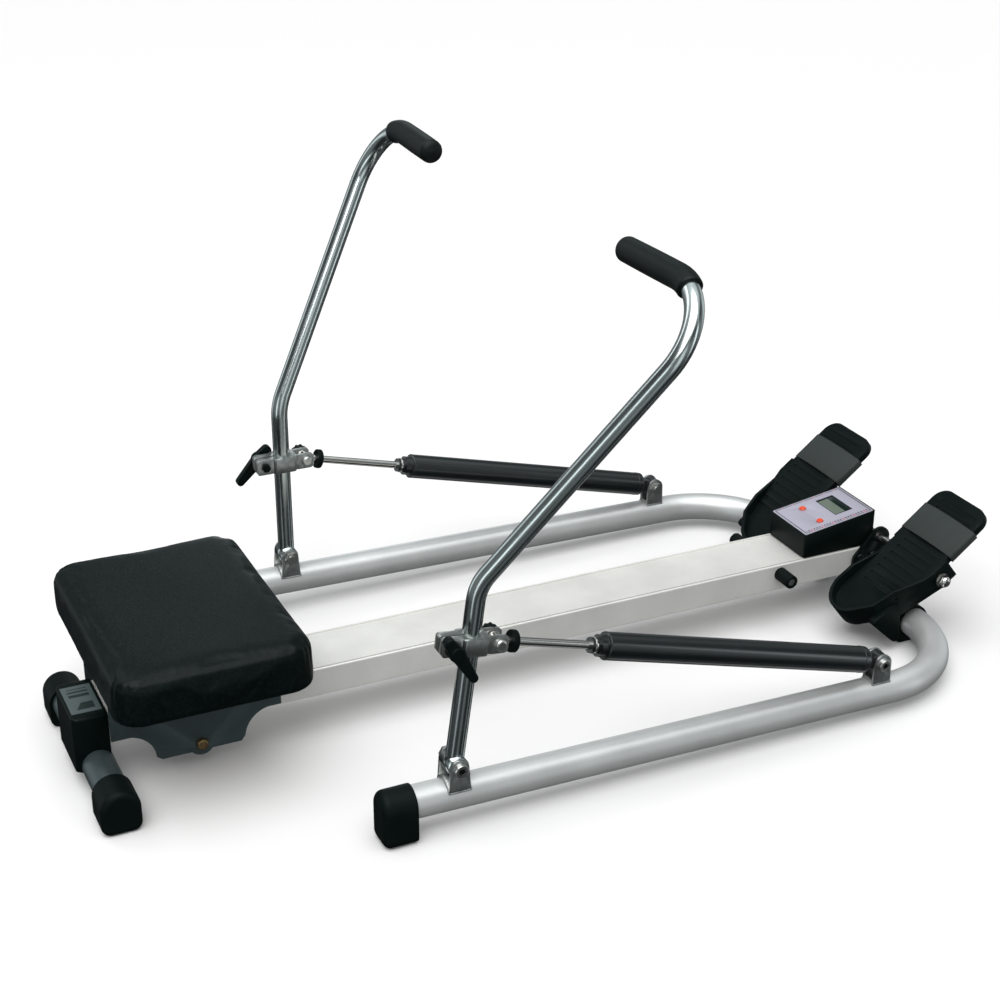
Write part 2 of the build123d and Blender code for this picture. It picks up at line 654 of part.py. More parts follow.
def foot_strap(side):
    """Webbing pulled flat round the toe part of the plate."""
    inward = 1 if side == "right" else -1
    low, half, top = PLATE_TOP_N - 9.3, TOE_WIDTH / 2 + 0.3, PLATE_TOP_N + 0.3

    def loop(grow):
        edge = [
            Polyline((half + grow, top), (half + grow, low - grow), (-half - grow, low - grow),
                     (-half - grow, top)),
            ThreePointArc((-half - grow, top), (0, top + 2 + grow), (half + grow, top)),
        ]
        return make_face(edge)

    section = fillet(loop(2.6).vertices(), 4) - loop(0)
    plane = Plane(origin=(26, inward * TOE_SHIFT, 0), x_dir=(0, 1, 0), z_dir=(1, 0, 0))
    return one(extrude(plane * section, amount=44))


def pedal_axle():
    return one(bar((AXLE_X, -AXLE_HALF, AXLE_Z), (AXLE_X, AXLE_HALF, AXLE_Z), AXLE_R))


def axle_nuts():
    nuts = []
    for side in (-1, 1):
        washer = bar((AXLE_X, side * 179.2, AXLE_Z), (AXLE_X, side * 181, AXLE_Z), 9.5)
        plane = Plane(origin=(AXLE_X, side * 181, AXLE_Z), x_dir=(1, 0, 0), z_dir=(0, side, 0))
        nut = extrude(plane * hexagon(15), amount=6)
        dome = bar((AXLE_X, side * 186, AXLE_Z), (AXLE_X, side * 191, AXLE_Z), 6.8)
        dome = fillet(dome.faces().sort_by_distance(Vector(AXLE_X, side * 191, AXLE_Z))[0].edges(), 4)
        bore = bar((AXLE_X, side * 170, AXLE_Z), (AXLE_X, side * AXLE_HALF, AXLE_Z), AXLE_R + 0.02)
        nuts.append(one(washer + nut + dome - bore))
    return Compound(children=nuts)


# ---------------------------------------------------------------- assembly
def build_nodes():
    nodes = {
        "base_tube": base_tube(),
        "main_beam": main_beam(),
        "beam_rear_cover": beam_rear_cover(),
        "beam_label_plate": beam_label_plate(),
        "rear_crossbar": rear_crossbar(),
        "front_bracket": front_bracket(),
        "front_bracket_bolts": front_bracket_bolts(),
        "pedal_axle": pedal_axle(),
        "axle_nuts": axle_nuts(),
        "stop_pegs": stop_pegs(),
        "stop_screws": stop_screws(),
        "console_body": console_body(),
        "console_face": console_face(),
        "console_display": console_display(),
        "console_button_right": console_button(-BUTTON_Y),
        "console_button_left": console_button(BUTTON_Y),
        "seat_cushion": seat_cushion(),
        "seat_board": seat_board(),
        "seat_carriage": seat_carriage(),
        "carriage_axles": carriage_axles(),
        "carriage_nuts": carriage_nuts(),
        "roller_rear": roller(UPPER_AXLE_X[0], upper_axle_z(), ROLLER_R),
        "roller_front": roller(UPPER_AXLE_X[1], upper_axle_z(), ROLLER_R),
        "roller_lower": roller(*LOWER_AXLE, LOWER_ROLLER_R),
    }
    paired = {
        "base_cap": base_cap(),
        "crossbar_cap": crossbar_cap(),
        "front_foot": front_foot(),
        "arm_bracket": saddle_bracket(PIVOT, 11.0, 27.2, 3.2, 13.0, 5.02),
        "pivot_bolt": socket_bolt(PIVOT, 16.82, 5.0, 8.0, 6.0, (15.0, 6.0)),
        "damper_bracket": saddle_bracket(DAMPER_PIN, 12.0, 15.2, 3.0, 12.5, 5.02),
        "damper_bolt": socket_bolt(DAMPER_PIN, 10.62, 5.0, 7.5, 5.5, (15.0, 6.0)),
    }
    for side in ("right", "left"):
        for name, shape in paired.items():
            nodes[f"{name}_{side}"] = side_of(shape, side)
        arm_pieces = {
            "arm_tube": arm_tube(),
            "grip": grip(),
            "clamp": clamp(side),
            "clamp_lever": clamp_lever(side),
            "yoke_bolt": yoke_bolt(side),
            "yoke_knob": yoke_knob(side),
        }
        for name, shape in arm_pieces.items():
            nodes[f"{name}_{side}"] = side_of(lean(shape, side), side)
        frame = damper_plane(side).location
        for name, shape in (("damper_cylinder", damper_cylinder()), ("damper_rod", damper_rod(side)),
                            ("rod_bumper", rod_bumper(side))):
            nodes[f"{name}_{side}"] = side_of(frame * shape, side)
        for name, shape in (("foot_plate", foot_plate(side)), ("foot_strap", foot_strap(side))):
            nodes[f"{name}_{side}"] = plate_plane(side).location * shape
    return nodes


def main():
    os.makedirs("parts", exist_ok=True)
    for name, shape in build_nodes().items():
        export_step(Pos(-FRAME_X, 0, 0) * shape, f"parts/{name}.step")
    for side in ("right", "left"):
        bx, bz = fork_point(side)
        tilt = degrees(atan2(bz - DAMPER_PIN[1], DAMPER_PIN[0] - bx))
        print(side, "damper", round(damper_length(side), 2), "mm at", round(tilt, 2), "degrees")


main()
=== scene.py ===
import json
from functools import partial
from math import atan2, cos, pi, radians, sin

import bmesh
import bpy
import numpy as np
from bpy.props import FloatProperty, FloatVectorProperty, IntProperty, PointerProperty
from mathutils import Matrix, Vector


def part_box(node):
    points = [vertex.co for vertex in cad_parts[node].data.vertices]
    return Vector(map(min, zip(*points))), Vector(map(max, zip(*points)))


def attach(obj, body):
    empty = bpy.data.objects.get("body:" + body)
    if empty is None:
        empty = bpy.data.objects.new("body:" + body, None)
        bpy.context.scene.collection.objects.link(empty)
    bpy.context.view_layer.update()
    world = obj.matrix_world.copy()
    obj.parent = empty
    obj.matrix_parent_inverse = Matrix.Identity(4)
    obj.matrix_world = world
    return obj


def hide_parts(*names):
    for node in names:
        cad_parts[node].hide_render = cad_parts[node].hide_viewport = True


bl_info = {
    "name": "Twin-arm rowing machine",
    "version": (1, 0, 0),
    "blender": (4, 5, 0),
    "location": "3D View > Sidebar > Rower",
    "description": "Finishes, padding and fittings for a twin-arm hydraulic rowing machine",
    "category": "Object",
}

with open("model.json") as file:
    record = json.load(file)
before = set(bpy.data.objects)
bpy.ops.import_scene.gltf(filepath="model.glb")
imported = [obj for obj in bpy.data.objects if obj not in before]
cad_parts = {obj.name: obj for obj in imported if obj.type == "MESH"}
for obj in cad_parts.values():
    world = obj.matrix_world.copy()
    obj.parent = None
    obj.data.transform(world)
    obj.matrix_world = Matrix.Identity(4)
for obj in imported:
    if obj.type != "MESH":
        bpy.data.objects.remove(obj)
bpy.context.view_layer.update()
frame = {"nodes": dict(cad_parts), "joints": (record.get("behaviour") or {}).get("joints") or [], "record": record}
JOINTS = {joint["name"]: joint for joint in frame["joints"]}
SIDES = {"right": -1.0, "left": 1.0}
MM = 0.001


# ---------------------------------------------------------------- node trees
class Signal:
    """One output socket of a node; arithmetic on it adds Math nodes to the same tree."""

    def __init__(self, graph, node, output=0):
        self.graph = graph
        self.node = node
        self.socket = node.outputs[output] if node.outputs else None

    def out(self, output):
        """Another output of the same node."""
        return Signal(self.graph, self.node, output)

    def math(self, operation, *others):
        return self.graph.add("ShaderNodeMath", enumerate((self, *others)), operation=operation)

    def __add__(self, other):
        return self.math("ADD", other)

    __radd__ = __add__

    def __mul__(self, other):
        return self.math("MULTIPLY", other)

    __rmul__ = __mul__

    def __sub__(self, other):
        return self.math("SUBTRACT", other)

    def __rsub__(self, other):
        return self.graph.add("ShaderNodeMath", {0: other, 1: self}, operation="SUBTRACT")

    def __truediv__(self, other):
        return self.math("DIVIDE", other)

    def __rtruediv__(self, other):
        return self.graph.add("ShaderNodeMath", {0: other, 1: self}, operation="DIVIDE")

    def __pow__(self, other):
        return self.math("POWER", other)

    def __abs__(self):
        return self.math("ABSOLUTE")

    def over(self, edge):
        return self.math("GREATER_THAN", edge)

    def under(self, edge):
        return self.math("LESS_THAN", edge)

    def ramp(self, low, high, start=0.0, end=1.0):
        """Smooth step of the value from low to high, onto start to end."""
        return self.graph.add("ShaderNodeMapRange", {0: self, 1: low, 2: high, 3: start, 4: end},
                              interpolation_type="SMOOTHSTEP")


class Graph:
    """A node tree under construction."""

    def __init__(self, tree):
        self.tree = tree
        tree.nodes.clear()

    def add(self, kind, inputs=(), output=0, **settings):
        """A node of that type: its settings first, then the values or links of its sockets."""
        node = self.tree.nodes.new(kind)
        for name, value in settings.items():
            setattr(node, name, value)
        for name, value in dict(inputs).items():
            if isinstance(value, Signal):
                self.tree.links.new(value.socket, node.inputs[name])
            else:
                node.inputs[name].default_value = value
        return Signal(self, node, output)

    def noise(self, where, scale, detail=3.0, roughness=0.55):
        return self.add("ShaderNodeTexNoise",
                        {"Vector": where, "Scale": scale, "Detail": detail, "Roughness": roughness})

    def cells(self, where, scale, feature="F1", randomness=1.0):
        return self.add("ShaderNodeTexVoronoi", {"Vector": where, "Scale": scale, "Randomness": randomness},
                        feature=feature)

    def mix(self, factor, first, second):
        """Colour between first and second."""
        return self.add("ShaderNodeMix", {0: factor, 6: first, 7: second}, output=2, data_type="RGBA")

    def bump(self, height, distance, strength):
        """Surface normal of a height from 0 to 1 that stands distance metres proud."""
        return self.add("ShaderNodeBump", {"Height": height, "Distance": distance, "Strength": strength})

    def place(self):
        return self.add("ShaderNodeTexCoord", output="Object")

    def axes(self, where):
        split = self.add("ShaderNodeSeparateXYZ", {0: where})
        return split, split.out(1), split.out(2)

    def stretched(self, where, scale):
        """The same place with each axis scaled, for streaks."""
        return self.add("ShaderNodeMapping", {"Vector": where, "Scale": scale})

    def circle(self, count, radius):
        return self.add("GeometryNodeCurvePrimitiveCircle", {"Resolution": count, "Radius": radius})

    def oblong(self, width, height):
        return self.add("GeometryNodeCurvePrimitiveQuadrilateral", {"Width": width, "Height": height})

    def swept(self, path, profile, caps=True, **more):
        """Skin that the profile draws along the path."""
        return self.add("GeometryNodeCurveToMesh",
                        {"Curve": path, "Profile Curve": profile, "Fill Caps": caps, **more})

    def sampled(self, path, spacing):
        return self.add("GeometryNodeResampleCurve", {"Curve": path, "Length": spacing}, mode="LENGTH")

    def run(self, output="Length"):
        """How far along its curve a point lies."""
        return self.add("GeometryNodeSplineParameter", output=output)

    def laid(self, shape, **more):
        """Shape scaled, turned and moved."""
        return self.add("GeometryNodeTransform", {"Geometry": shape, **more})


# ---------------------------------------------------------------- finishes
LOOKS = {}


def rgba(colour):
    return (*colour, 1.0)


def tinted(colour, factor, lift=0.0):
    """Colour scaled, then lifted towards white."""
    return rgba([c * factor + lift for c in colour])


def surface(build):
    """Let a surface be given its settings first and the graph that it is built on later."""
    return lambda *settings, **named: lambda graph, where: build(graph, where, *settings, **named)


def finish(name, build, **constants):
    """Material whose varying inputs come from build and whose constants stand on the shader."""
    material = LOOKS[name] = bpy.data.materials.new(f"rower_{name}")
    material.use_nodes = True
    graph = Graph(material.node_tree)
    varying = build(graph, graph.place())
    named = {key.replace("_", " "): value for key, value in constants.items()}
    shader = graph.add("ShaderNodeBsdfPrincipled", {**named, **varying})
    graph.add("ShaderNodeOutputMaterial", {"Surface": shader})
    material.diffuse_color = (0.5, 0.5, 0.5, 1.0)
    return material


@surface
def satin_paint(graph, where, colour, grain=700.0, chalk=0.05):
    """Baked silver paint: metallic flake, faint orange peel and soft handling marks."""
    cloud = graph.noise(where, 14.0, 4.0)
    flake = graph.noise(where, 2600.0, 2.0)
    peel = graph.noise(where, grain, 2.0)
    scuff = graph.noise(graph.stretched(where, (9.0, 90.0, 90.0)), 6.0, 5.0).ramp(0.62, 0.72)
    tone = cloud * 0.5 + flake * 0.5
    darker = rgba([c * (1.0 - 2.2 * chalk) for c in colour])
    lighter = rgba([min(1.0, c * (1.0 + chalk)) for c in colour])
    return {
        "Base Color": graph.mix(tone.ramp(0.35, 0.65), darker, lighter),
        "Roughness": 0.34 + cloud * 0.10 + scuff * 0.08,
        "Normal": graph.bump(peel * 0.8 + flake * 0.2, 0.05 * MM, 0.6),
    }


@surface
def bright_chrome(graph, where, colour):
    """Plated tube: hazy finger marks, polishing waviness and a few pinholes."""
    haze = graph.noise(where, 22.0, 5.0)
    waves = graph.noise(where, 55.0, 2.0)
    pits = graph.cells(where, 420.0).under(0.045)
    dull = tinted(colour, 0.72)
    return {
        "Base Color": graph.mix(pits * 0.5 + haze.ramp(0.45, 0.8) * 0.35, rgba(colour), dull),
        "Roughness": 0.17 + haze.ramp(0.4, 0.85) * 0.10,
        "Normal": graph.bump(waves, 0.12 * MM, 0.35),
    }


@surface
def plated(graph, where, colour, tint, rough=0.27):
    """Zinc plate: crystalline bloom between two tints, slightly tumbled surface."""
    bloom = graph.noise(where, 95.0, 4.0)
    grain = graph.cells(where, 900.0)
    return {
        "Base Color": graph.mix(bloom.ramp(0.38, 0.66), rgba(colour), rgba(tint)),
        "Roughness": rough + bloom * 0.14 + grain * 0.05,
        "Normal": graph.bump(grain * 0.5 + bloom * 0.5, 0.04 * MM, 0.7),
    }


@surface
def moulded(graph, where, colour, grain=1300.0, depth=0.07, rough=0.36, dust=0.25):
    """Moulded black plastic or rubber: spark-eroded grain and a little dust in it."""
    pebble = graph.cells(where, grain, "SMOOTH_F1")
    fine = graph.noise(where, grain * 2.1, 2.0)
    cloud = graph.noise(where, 30.0, 4.0)
    paler = tinted(colour, 2.0, 0.002)
    return {
        "Base Color": graph.mix(cloud.ramp(0.45, 0.8) * dust, rgba(colour), paler),
        "Roughness": rough + cloud * 0.12 - pebble * 0.05,
        "Normal": graph.bump(pebble * 0.7 + fine * 0.3, depth * MM, 0.8),
    }


@surface
def grained_vinyl(graph, where, colour):
    """Leathercloth: pebbles with fine creases between them, mottled in tone and gloss."""
    pebble = graph.cells(where, 620.0, "SMOOTH_F1")
    crease = graph.cells(where, 310.0, "DISTANCE_TO_EDGE").ramp(0.0, 0.12)
    mottle = graph.noise(where, 260.0, 3.0)
    worn = graph.noise(where, 12.0, 3.0)
    paler = tinted(colour, 2.4, 0.0015)
    return {
        "Base Color": graph.mix(mottle.ramp(0.45, 0.75) * 0.6, rgba(colour), paler),
        "Roughness": 0.30 + mottle * 0.16 + worn * 0.06,
        "Normal": graph.bump((1.0 - pebble) * 0.6 + crease * 0.4, 0.16 * MM, 0.8),
    }


@surface
def closed_foam(graph, where, colour):
    """Closed-cell foam: soft skin with tiny open pores."""
    pores = graph.cells(where, 1500.0)
    dimple = graph.noise(where, 420.0, 3.0)
    cloud = graph.noise(where, 40.0, 3.0)
    paler = tinted(colour, 2.2, 0.0015)
    return {
        "Base Color": graph.mix(dimple.ramp(0.5, 0.8) * 0.5 + cloud * 0.2, rgba(colour), paler),
        "Roughness": 0.40 + dimple * 0.22,
        "Normal": graph.bump(pores.ramp(0.0, 0.35) * 0.5 + dimple * 0.5, 0.14 * MM, 0.8),
    }


@surface
def gloss_enamel(graph, where, colour):
    """Stoved black enamel with a soft orange peel."""
    peel = graph.noise(where, 380.0, 2.0)
    cloud = graph.noise(where, 25.0, 4.0)
    dust = graph.cells(where, 260.0).under(0.03)
    paler = tinted(colour, 2.0, 0.002)
    return {
        "Base Color": graph.mix(cloud.ramp(0.5, 0.8) * 0.3 + dust * 0.2, rgba(colour), paler),
        "Roughness": 0.26 + cloud * 0.08,
        "Normal": graph.bump(peel, 0.03 * MM, 0.5),
    }


@surface
def polished_rod(graph, where, colour):
    """Ground and polished steel with fine turning marks."""
    lay = graph.noise(graph.stretched(where, (40.0, 1600.0, 1600.0)), 1.0, 3.0)
    haze = graph.noise(where, 30.0, 3.0)
    dull = tinted(colour, 0.8)
    return {
        "Base Color": graph.mix(haze.ramp(0.4, 0.8) * 0.5, rgba(colour), dull),
        "Roughness": 0.09 + lay * 0.06 + haze * 0.04,
        "Normal": graph.bump(lay, 0.01 * MM, 0.4),
    }


@surface
def plywood(graph, where, colour):
    """Sanded plywood: long grain streaks."""
    streak = graph.noise(graph.stretched(where, (160.0, 7.0, 160.0)), 1.0, 5.0)
    pore = graph.noise(graph.stretched(where, (1400.0, 60.0, 1400.0)), 1.0, 2.0)
    dark = tinted(colour, 0.55)
    return {
        "Base Color": graph.mix(streak.ramp(0.35, 0.65) * 0.7 + pore.ramp(0.55, 0.7) * 0.3,
                                rgba(colour), dark),
        "Roughness": 0.6 + streak * 0.2,
        "Normal": graph.bump(streak * 0.4 + pore * 0.6, 0.08 * MM, 0.6),
    }


@surface
def printed_label(graph, where, ground, ink):
    """Grey plate with plain printed bars across it."""
    x, y, _ = graph.axes(where)
    cloud = graph.noise(where, 90.0, 3.0)
    low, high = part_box("beam_label_plate")
    across = (y - low.y) / (high.y - low.y)
    along = (x - low.x) / (high.x - low.x)
    inside = along.over(0.16) * along.under(0.84)
    bars = (across.over(0.58) * across.under(0.68) + across.over(0.74) * across.under(0.80)
            + across.over(0.86) * across.under(0.89))
    block = across.over(0.12) * across.under(0.36) * (along - across * 0.9).over(0.12)
    return {
        "Base Color": graph.mix((bars + block) * inside, rgba(ground), rgba(ink)),
        "Roughness": 0.32 + cloud * 0.16,
        "Normal": graph.bump(cloud, 0.02 * MM, 0.5),
    }


@surface
def printed_film(graph, where, ground, ink, accent):
    """Silver film: dark keyline, a row of ticks beside it and rings round the buttons."""
    u, v, _ = graph.axes(graph.add("ShaderNodeTexCoord", output="UV"))
    speck = graph.noise(where, 2200.0, 2.0)
    edge_u = 0.5 - abs(u - 0.5)
    edge_v = 0.5 - abs(v - 0.5)
    keyline = (edge_u.over(0.022) * edge_u.under(0.034) * edge_v.over(0.026)
               + edge_v.over(0.026) * edge_v.under(0.042) * edge_u.over(0.022))
    ticks = (u * 26.0).math("FRACT").under(0.55) * v.over(0.062) * v.under(0.095) * edge_u.over(0.05)
    hot = (u * 6.5 + 0.3).math("FRACT").under(0.3)
    printed = graph.mix(hot, rgba(ink), rgba(accent))
    base = graph.mix(speck.ramp(0.4, 0.6), tinted(ground, 0.93), rgba(ground))
    return {
        "Base Color": graph.mix((keyline + ticks).math("MINIMUM", 1.0), base, printed),
        "Roughness": 0.30 + speck * 0.14,
        "Normal": graph.bump(speck, 0.01 * MM, 0.4),
    }


@surface
def display_glass(graph, where, glass, cell):
    """Liquid crystal window: dark glass with the paler cell behind its lower half."""
    u, v, _ = graph.axes(graph.add("ShaderNodeTexCoord", output="UV"))
    lines = (v * 90.0).math("FRACT").under(0.12)
    cloud = graph.noise(where, 120.0, 2.0)
    inside = u.over(0.10) * u.under(0.62) * v.over(0.08) * v.under(0.92)
    shade = graph.mix(lines * 0.25, rgba(cell), tinted(cell, 0.6))
    return {
        "Base Color": graph.mix(inside, rgba(glass), shade),
        "Roughness": 0.08 + cloud * 0.06,
        "Normal": graph.bump(cloud, 0.005 * MM, 0.3),
    }


@surface
def button_cap(graph, where, colour, light):
    """Moulded push button, paler in soft random mottles."""
    mottle = graph.noise(where, 380.0, 2.0)
    fine = graph.noise(where, 2600.0, 2.0)
    return {
        "Base Color": graph.mix(mottle.ramp(0.35, 0.75) * 0.5, rgba(colour), rgba(light)),
        "Roughness": 0.26 + mottle * 0.12,
        "Normal": graph.bump(fine, 0.02 * MM, 0.4),
    }


@surface
def woven_webbing(graph, where, colour):
    """Strap webbing: warp ribs crossed by picks, read along the strap's own map in metres."""
    u, v, _ = graph.axes(graph.add("ShaderNodeTexCoord", output="UV"))
    warp = (v * (2.0 * pi / 0.0022)).math("SINE")
    weft = (u * (2.0 * pi / 0.0016)).math("SINE")
    weave = warp * weft * 0.5 + 0.5
    fluff = graph.noise(where, 900.0, 3.0)
    paler = tinted(colour, 2.6, 0.006)
    return {
        "Base Color": graph.mix(weave * 0.6 + fluff * 0.3, rgba(colour), paler),
        "Roughness": 0.62 + fluff * 0.2,
        "Normal": graph.bump(weave * 0.8 + fluff * 0.2, 0.22 * MM, 0.8),
    }


# ---------------------------------------------------------------- sizes and colours
def colour(name, description, default):
    return FloatVectorProperty(name=name, description=description, default=default, size=3,
                               min=0.0, max=1.0, subtype="COLOR")


def length(name, description, default):
    return FloatProperty(name=name, description=description, default=default, min=0.0, unit="LENGTH",
                         precision=5)


def point(name, description, default):
    return FloatVectorProperty(name=name, description=description, default=default, size=3, unit="LENGTH",
                               subtype="XYZ", precision=5)


def turn(name, description, default):
    return FloatProperty(name=name, description=description, default=radians(default), subtype="ANGLE")


class RowerSizes(bpy.types.PropertyGroup):
    tube_radius: length("Arm tube radius", "Outside radius of the chromed arm tube", 10.5 * MM)
    sleeve: length("Sleeve radius", "Outside radius of the sleeve at the foot of the arm", 12 * MM)
    sleeve_width: length("Sleeve width", "Length of that sleeve along its bolt", 26.6 * MM)
    sleeve_bore: length("Sleeve bore", "Bore of the sleeve at the foot of the arm", 5.05 * MM)
    arm_rise: length("Arm rise", "Straight tube from the pivot to the lower bend", 211 * MM)
    arm_top: point("Arm top", "Upper corner of the arm, outwards along Y", (186.3 * MM, 90 * MM, 545 * MM))
    arm_end: point("Arm end", "End of the tube in the grip", (175 * MM, -99 * MM, 545.7 * MM))
    lower_bend: length("Lower bend", "Centreline radius of the lower bend", 60 * MM)
    upper_bend: length("Upper bend", "Centreline radius of the bend below the grip", 70 * MM)
    lean_right: turn("Right lean", "How far the right arm leans forwards", 7.9)
    lean_left: turn("Left lean", "How far the left arm leans forwards", 0.0)
    grip_radius: length("Grip radius", "Outside radius of the foam grip", 14.5 * MM)
    grip_nose: length("Grip nose", "Length of the grip beyond the tube", 7.0 * MM)
    grip_cover: length("Grip cover", "Length of the foam along the tube", 134 * MM)
    edge: length("Edge radius", "Rounding of cast and folded edges", 0.5 * MM)
    plate_tilt: turn("Plate tilt", "Tilt of the foot plates at rest", 38.0)
    flutes: IntProperty(name="Flutes", description="Flutes round a yoke knob", default=10, min=3)
    voxel: length("Cushion cell", "Cell of the cushion's simulated skin", 4.0 * MM)
    slack: length("Cushion slack", "How much smaller the cover starts than it ends", 0.4 * MM)
    seat_corner: length("Seat corner", "Radius of the seat's corners seen from above", 31 * MM)
    seat_edge: length("Seat edge", "Rounding of the cushion's upper edge", 12 * MM)
    pressure: FloatProperty(name="Cushion pressure", description="Pressure that fills the cushion",
                            default=4.0)
    swell: length("Cushion swell", "Most that the cushion's skin may move as it fills", 5.0 * MM)
    pleats: IntProperty(name="Pleats", description="Folds gathered round each corner", default=5)
    pleat_depth: length("Pleat depth", "Depth of the folds at the corners", 1.0 * MM)
    stretch: FloatProperty(name="Cover stretch", default=0.02,
                           description="How much larger the cover is cut than its block")


class RowerColours(bpy.types.PropertyGroup):
    silver: colour("Silver paint", "Base tube and crossbar", (0.62, 0.635, 0.63))
    beam: colour("Beam silver", "Main beam", (0.76, 0.76, 0.73))
    chrome: colour("Chrome", "Arms", (0.56, 0.61, 0.60))
    zinc: colour("Zinc plate", "Brackets, clamps and screws", (0.50, 0.515, 0.50))
    brass: colour("Yellow zinc", "Carriage axles and nuts", (0.50, 0.36, 0.16))
    # This colour is also put on the rear crossbar, which is silver paint like the base tube; there its darkness is
    # painted shade.
    carriage: colour("Carriage paint", "Seat carriage", (0.060, 0.085, 0.090))
    plastic: colour("Black plastic", "Console, covers and foot plates", (0.0012, 0.0045, 0.0038))
    rubber: colour("Black rubber", "Caps, pegs and bumpers", (0.0012, 0.0042, 0.0035))
    vinyl: colour("Black vinyl", "Seat", (0.0008, 0.0038, 0.0032))
    foam: colour("Black foam", "Grips", (0.0010, 0.0040, 0.0034))
    enamel: colour("Black enamel", "Damper cylinders", (0.0018, 0.0045, 0.0050))
    film: colour("Console film", "Face of the console", (0.42, 0.415, 0.50))
    button: colour("Button red", "Console buttons", (0.72, 0.045, 0.018))


class RowerStage(bpy.types.PropertyGroup):
    place: FloatVectorProperty(name="Camera place", description="Where the camera stands", size=3,
                               default=(-0.89075, -1.8349, 1.19054), subtype="XYZ", unit="LENGTH")
    heading: FloatProperty(name="Heading", description="Camera's turn from +X towards +Y",
                           default=radians(65.28), subtype="ANGLE")
    pitch: FloatProperty(name="Pitch", description="Camera's tilt above the horizon",
                         default=radians(-25.14), subtype="ANGLE")
    lens: FloatProperty(name="Lens", description="Focal length in millimetres", default=66.69)
    shift: FloatVectorProperty(name="Shift", description="Lens shift", size=2, default=(0.0097, -0.0004))
    floor: colour("Floor", "Plain pale floor", (0.84, 0.84, 0.84))


# ---------------------------------------------------------------- operators
class RowerFinishes(bpy.types.Operator):
    """Make every finish and give the carried-over parts theirs"""
    bl_idname = "rower.finishes"
    bl_label = "Finishes"

    def execute(self, context):
        c = context.scene.rower_colours
        finish("silver_paint", satin_paint(c.silver), Metallic=0.5)
        finish("beam_paint", satin_paint(c.beam, 900.0), Metallic=0.25)
        finish("chrome_plate", bright_chrome(c.chrome), Metallic=1.0)
        finish("zinc_plate", plated(c.zinc, [v * 0.72 for v in c.zinc]), Metallic=1.0)
        finish("bright_zinc", plated((0.72, 0.73, 0.70), (0.55, 0.56, 0.54), 0.2), Metallic=1.0)
        finish("yellow_zinc", plated(c.brass, (0.28, 0.15, 0.10), 0.3), Metallic=1.0)
        finish("carriage_paint", satin_paint(c.carriage, 420.0, 0.08), Metallic=0.4)
        finish("black_plastic", moulded(c.plastic, depth=0.03, rough=0.42), Specular_IOR_Level=0.12)
        finish("black_rubber", moulded(c.rubber, 1700.0, 0.03, 0.5, 0.35), Specular_IOR_Level=0.1)
        finish("bracket_paint", moulded(c.plastic, 500.0, 0.03, 0.30, 0.2), Specular_IOR_Level=0.3)
        finish("seat_vinyl", grained_vinyl(c.vinyl), Specular_IOR_Level=0.13)
        finish("grip_foam", closed_foam(c.foam), Specular_IOR_Level=0.25)
        finish("damper_enamel", gloss_enamel(c.enamel), Specular_IOR_Level=0.8, Coat_Weight=0.5)
        finish("polished_steel", polished_rod((0.80, 0.78, 0.74)), Metallic=1.0)
        finish("nylon", moulded((0.05, 0.055, 0.055), 900.0, 0.04, 0.38, 0.3))
        finish("weld_metal", plated((0.34, 0.36, 0.35), (0.22, 0.23, 0.23), 0.38), Metallic=0.7)
        finish("plywood", plywood((0.42, 0.29, 0.16)))
        finish("label_print", printed_label((0.075, 0.10, 0.10), (0.010, 0.022, 0.020)))
        finish("console_film", printed_film(c.film, (0.03, 0.025, 0.035), (0.42, 0.07, 0.12)), Metallic=0.15)
        finish("console_glass", display_glass((0.006, 0.014, 0.012), (0.13, 0.16, 0.13)),
               Specular_IOR_Level=0.2)
        finish("button_red", button_cap(c.button, (0.85, 0.22, 0.03)), Coat_Weight=0.5)
        finish("webbing", woven_webbing((0.010, 0.014, 0.013)))
        for name, nodes in KEPT.items():
            for node in nodes:
                paint(frame["nodes"][node], name)
        return {"FINISHED"}


def both(*names):
    return [f"{name}_{side}" for name in names for side in SIDES]


KEPT = {
    "silver_paint": ["base_tube"],
    "beam_paint": ["main_beam"],
    "polished_steel": ["pedal_axle", "axle_nuts", *both("damper_rod")],
    "bright_zinc": both("pivot_bolt", "damper_bolt", "yoke_bolt"),
    "zinc_plate": ["stop_screws", *both("clamp", "arm_bracket", "damper_bracket")],
    "yellow_zinc": ["carriage_axles", "carriage_nuts"],
    # the rear crossbar is silver like the base tube; the dark carriage paint on it is painted shade
    "carriage_paint": ["seat_carriage", "rear_crossbar"],
    "black_plastic": ["beam_rear_cover", "console_body", *both("foot_plate", "yoke_knob", "clamp_lever")],
    "bracket_paint": ["front_bracket", "front_bracket_bolts"],
    "black_rubber": ["stop_pegs", *both("base_cap", "crossbar_cap", "front_foot", "rod_bumper")],
    "nylon": ["roller_rear", "roller_front", "roller_lower"],
    "plywood": ["seat_board"],
    "label_print": ["beam_label_plate"],
    "console_film": ["console_face"],
    "console_glass": ["console_display"],
    "button_red": both("console_button"),
    "seat_vinyl": ["seat_cushion"],
    "grip_foam": both("grip"),
    "damper_enamel": both("damper_cylinder"),
    "chrome_plate": both("arm_tube"),
    "webbing": both("foot_strap"),
}


def paint(piece, name):
    """Give every material slot of the piece one finish."""
    if not piece.material_slots:
        piece.data.materials.append(LOOKS[name])
    for slot in piece.material_slots:
        slot.material = LOOKS[name]


